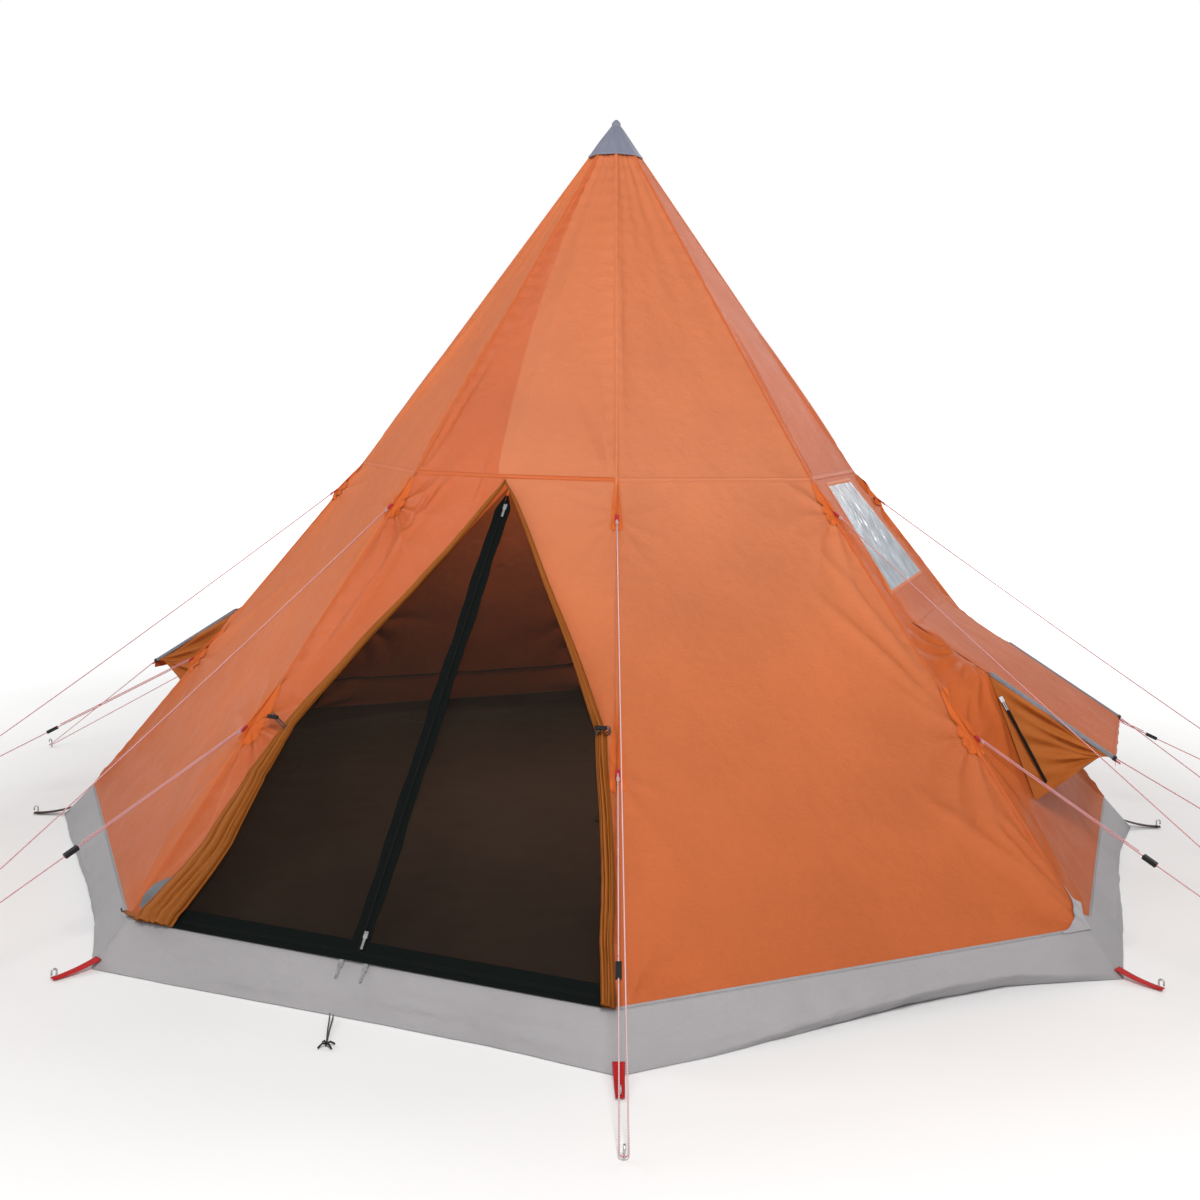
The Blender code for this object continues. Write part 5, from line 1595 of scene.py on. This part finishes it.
def straight(a, b, count, sag=0.0):
    """Points from a up to but not including b, hanging by sag times the span in the middle."""
    drop = (b - a).length * sag
    shares = [i / count for i in range(count)]
    return [a.lerp(b, s) - Vector((0, 0, 4 * drop * s * (1 - s))) for s in shares]


def round_peg(peg, outward, count=9):
    """A level turn round the far side of an upright peg, from its left to its right."""
    across = Vector((-outward.y, outward.x, 0))
    angles = [math.pi * i / (count - 1) for i in range(count)]
    return [peg + (across * math.cos(a) + outward * math.sin(a)) * ROPE_TURN for a in angles]


def knot(name, place, along, look="rope"):
    """A small hitch: three turns of the cord round itself."""
    side = along.cross(Vector((0, 0, 1))).normalized()
    up = side.cross(along)
    points = []
    for angle in np.linspace(0, 6 * math.pi, 40):
        step = along * (angle / (6 * math.pi) - 0.5) * 0.012
        points.append(place + step + (side * math.cos(angle) + up * math.sin(angle)) * ROPE_RADIUS * 1.8)
    return tube(name, points, ROPE_RADIUS * 0.9, look, sides=6)


def build_guy_ropes():
    """Each corner's upper and lower rope; the lower one is doubled from its tab to its tensioner."""
    for name, (number, peg_radius) in CORNERS.items():
        out = corner_point(number, 1.0, 0.0)
        turn = round_peg(corner_point(number, peg_radius, ROPE_PEG_Z), out)
        upper, lower = corner_point(number, *UPPER_TAB), corner_point(number, *LOWER_TAB)
        upper_run = straight(upper, turn[0], 14, UPPER_ROPE_SAG) + turn[:5]
        lower_run = straight(lower, turn[-1], 10) + turn[:3:-1]
        tensioner = frame["nodes"][f"tensioner_{name}"]
        low, high = node_box(f"tensioner_{name}")
        middle = (low + high) / 2
        along = (turn[-1] - lower).normalized()
        over = Vector((-out.y, out.x, 0)).cross(along).normalized()
        if over.z < 0:
            over.negate()
        back = straight(lower + over * 0.005, middle + over * 0.0052 - along * 0.012, 24)
        strand = tube(f"guy_return_{name}", back, ROPE_RADIUS, "rope")
        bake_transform(strand)
        for kind, run, extra in (("upper", upper_run, []), ("lower", lower_run, [strand, tensioner])):
            rope = tube(f"guy_rope_{kind}_{name}", run, ROPE_RADIUS, "rope")
            on_tent(rope, "guy_cord", f"guy_line_{name}")
            first = run[1] - run[0]
            place = run[0].lerp(run[1], 0.012 / first.length)
            hitch = knot(f"guy_knot_{kind}_{name}", place, first.normalized())
            on_tent(hitch, "guy_cord")


def build_vent_ropes():
    """One rope runs from a hood's near corner round its peg to its far corner."""
    for side, sign in (("right", 1), ("left", -1)):
        reach = Vector((sign * 0.008, 0, -0.004))
        near = hood_point(sign, 1, -HOOD_HALF_WIDTH + TRIM_WIDTH / 2) + reach
        far = hood_point(sign, 1, HOOD_HALF_WIDTH - TRIM_WIDTH / 2) + reach
        turn = round_peg(Vector((sign * VENT_PEG_X, 0, ROPE_PEG_Z)), Vector((sign, 0, 0)))
        if sign > 0:
            turn.reverse()
        for end, start, bend in (("near", near, turn[:5]), ("far", far, turn[:3:-1])):
            run = straight(start, bend[0], 10) + bend
            rope = tube(f"vent_rope_{side}_{end}", run, ROPE_RADIUS, "rope")
            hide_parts(f"vent_guy_line_{side}")
            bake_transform(rope)


def build_front_tie():
    """The black elastic that pegs the middle of the doorstep, and its peg's three-legged head."""
    y = -ACROSS_FLATS / 2
    places = (
        (0.0, 0.004, 0.012), (0.012, 0.03, 0.010), (0.03, 0.07, 0.006),
        (0.05, 0.11, 0.004), (0.065, 0.14, 0.0035),
    )
    route = [Vector((x, y - ahead, z)) for x, ahead, z in places]
    tie = tube("front_tie_elastic", route, 0.002, "elastic")
    on_tent(tie, "elastic_black", "front_tie")
    beside = [p + Vector((-0.012 * (1 - i / 4), 0.002, 0.001)) for i, p in enumerate(route)]
    second = on_tent(tube("front_tie_second", beside, 0.0018, "elastic"), "elastic_black")
    head = route[-1]
    legs = []
    for index, angle in enumerate((2.5, 4.2, 5.9, 0.9)):
        reach = Vector((math.cos(angle), math.sin(angle), 0)) * 0.022
        levels = ((0.0, 0.006), (0.5, 0.008), (1.0, 0.0005))
        bend = [head + reach * share + Vector((0, 0, level)) for share, level in levels]
        legs.append(tube(f"front_peg_leg_{index}", bend, 0.0024, "plastic"))
    spider = on_tent(joined("front_peg_head", legs), "black_plastic")


# ---------------------------------------------------------------- parts kept from the frame
KEPT = {
    "pole_section": ("steel", 0.0006),
    "pole_foot": ("rubber", 0.0012),
    "door_toggle": ("plastic", 0.0),
    "door_zip_slider": ("zip", 0.0008),
    "hem_zip_slider": ("zip", 0.0008),
    "vent_zip_slider": ("zip", 0.0008),
    "tensioner": ("plastic", 0.0015),
    "guy_peg": ("peg", 0.0),
    "vent_guy_peg": ("peg", 0.0),
}


def dress_frame():
    """Gives each kept frame part its finish, and softens its edges."""
    for name, obj in frame["nodes"].items():
        for start, (look, edge) in KEPT.items():
            if not name.startswith(start):
                continue
            obj.data.materials.clear()
            obj.data.materials.append(LOOKS[look])
            if edge:
                bevel = obj.modifiers.new("soft_edges", "BEVEL")
                bevel.width = edge
                bevel.segments = 2
                bevel.limit_method = "ANGLE"
                bevel.harden_normals = False
            obj.data.shade_smooth()
            obj.data.set_sharp_from_angle(angle=math.radians(40))


def build_tent():
    build_canopy()
    build_seams()
    build_inside_seams()
    build_cap()
    build_tub()
    build_tub_corner()
    build_straps()
    build_door()
    for side, sign, widths, foot_depth in (
        ("left", -1, (0.006, 0.014, 0.019, 0.034, 0.130), 0.040),
        ("right", 1, (0.006, 0.014, 0.023, 0.034, 0.038), 0.036),
    ):
        depths = ((0, 0.55, 1), (0.014, 0.026, foot_depth))
        build_flap(side, sign, ((0, 0.05, 0.3, 0.55, 1), widths), depths, 0.002, 3)
    build_flap_ties()
    build_patch()
    build_window()
    for side, sign in (("right", 1), ("left", -1)):
        build_hood(side, sign)
        build_gusset(side, sign)
    build_guy_points()
    dress_frame()


build_camera()
build_guy_ropes()
build_vent_ropes()
build_front_tie()
build_tent()
build_stage()
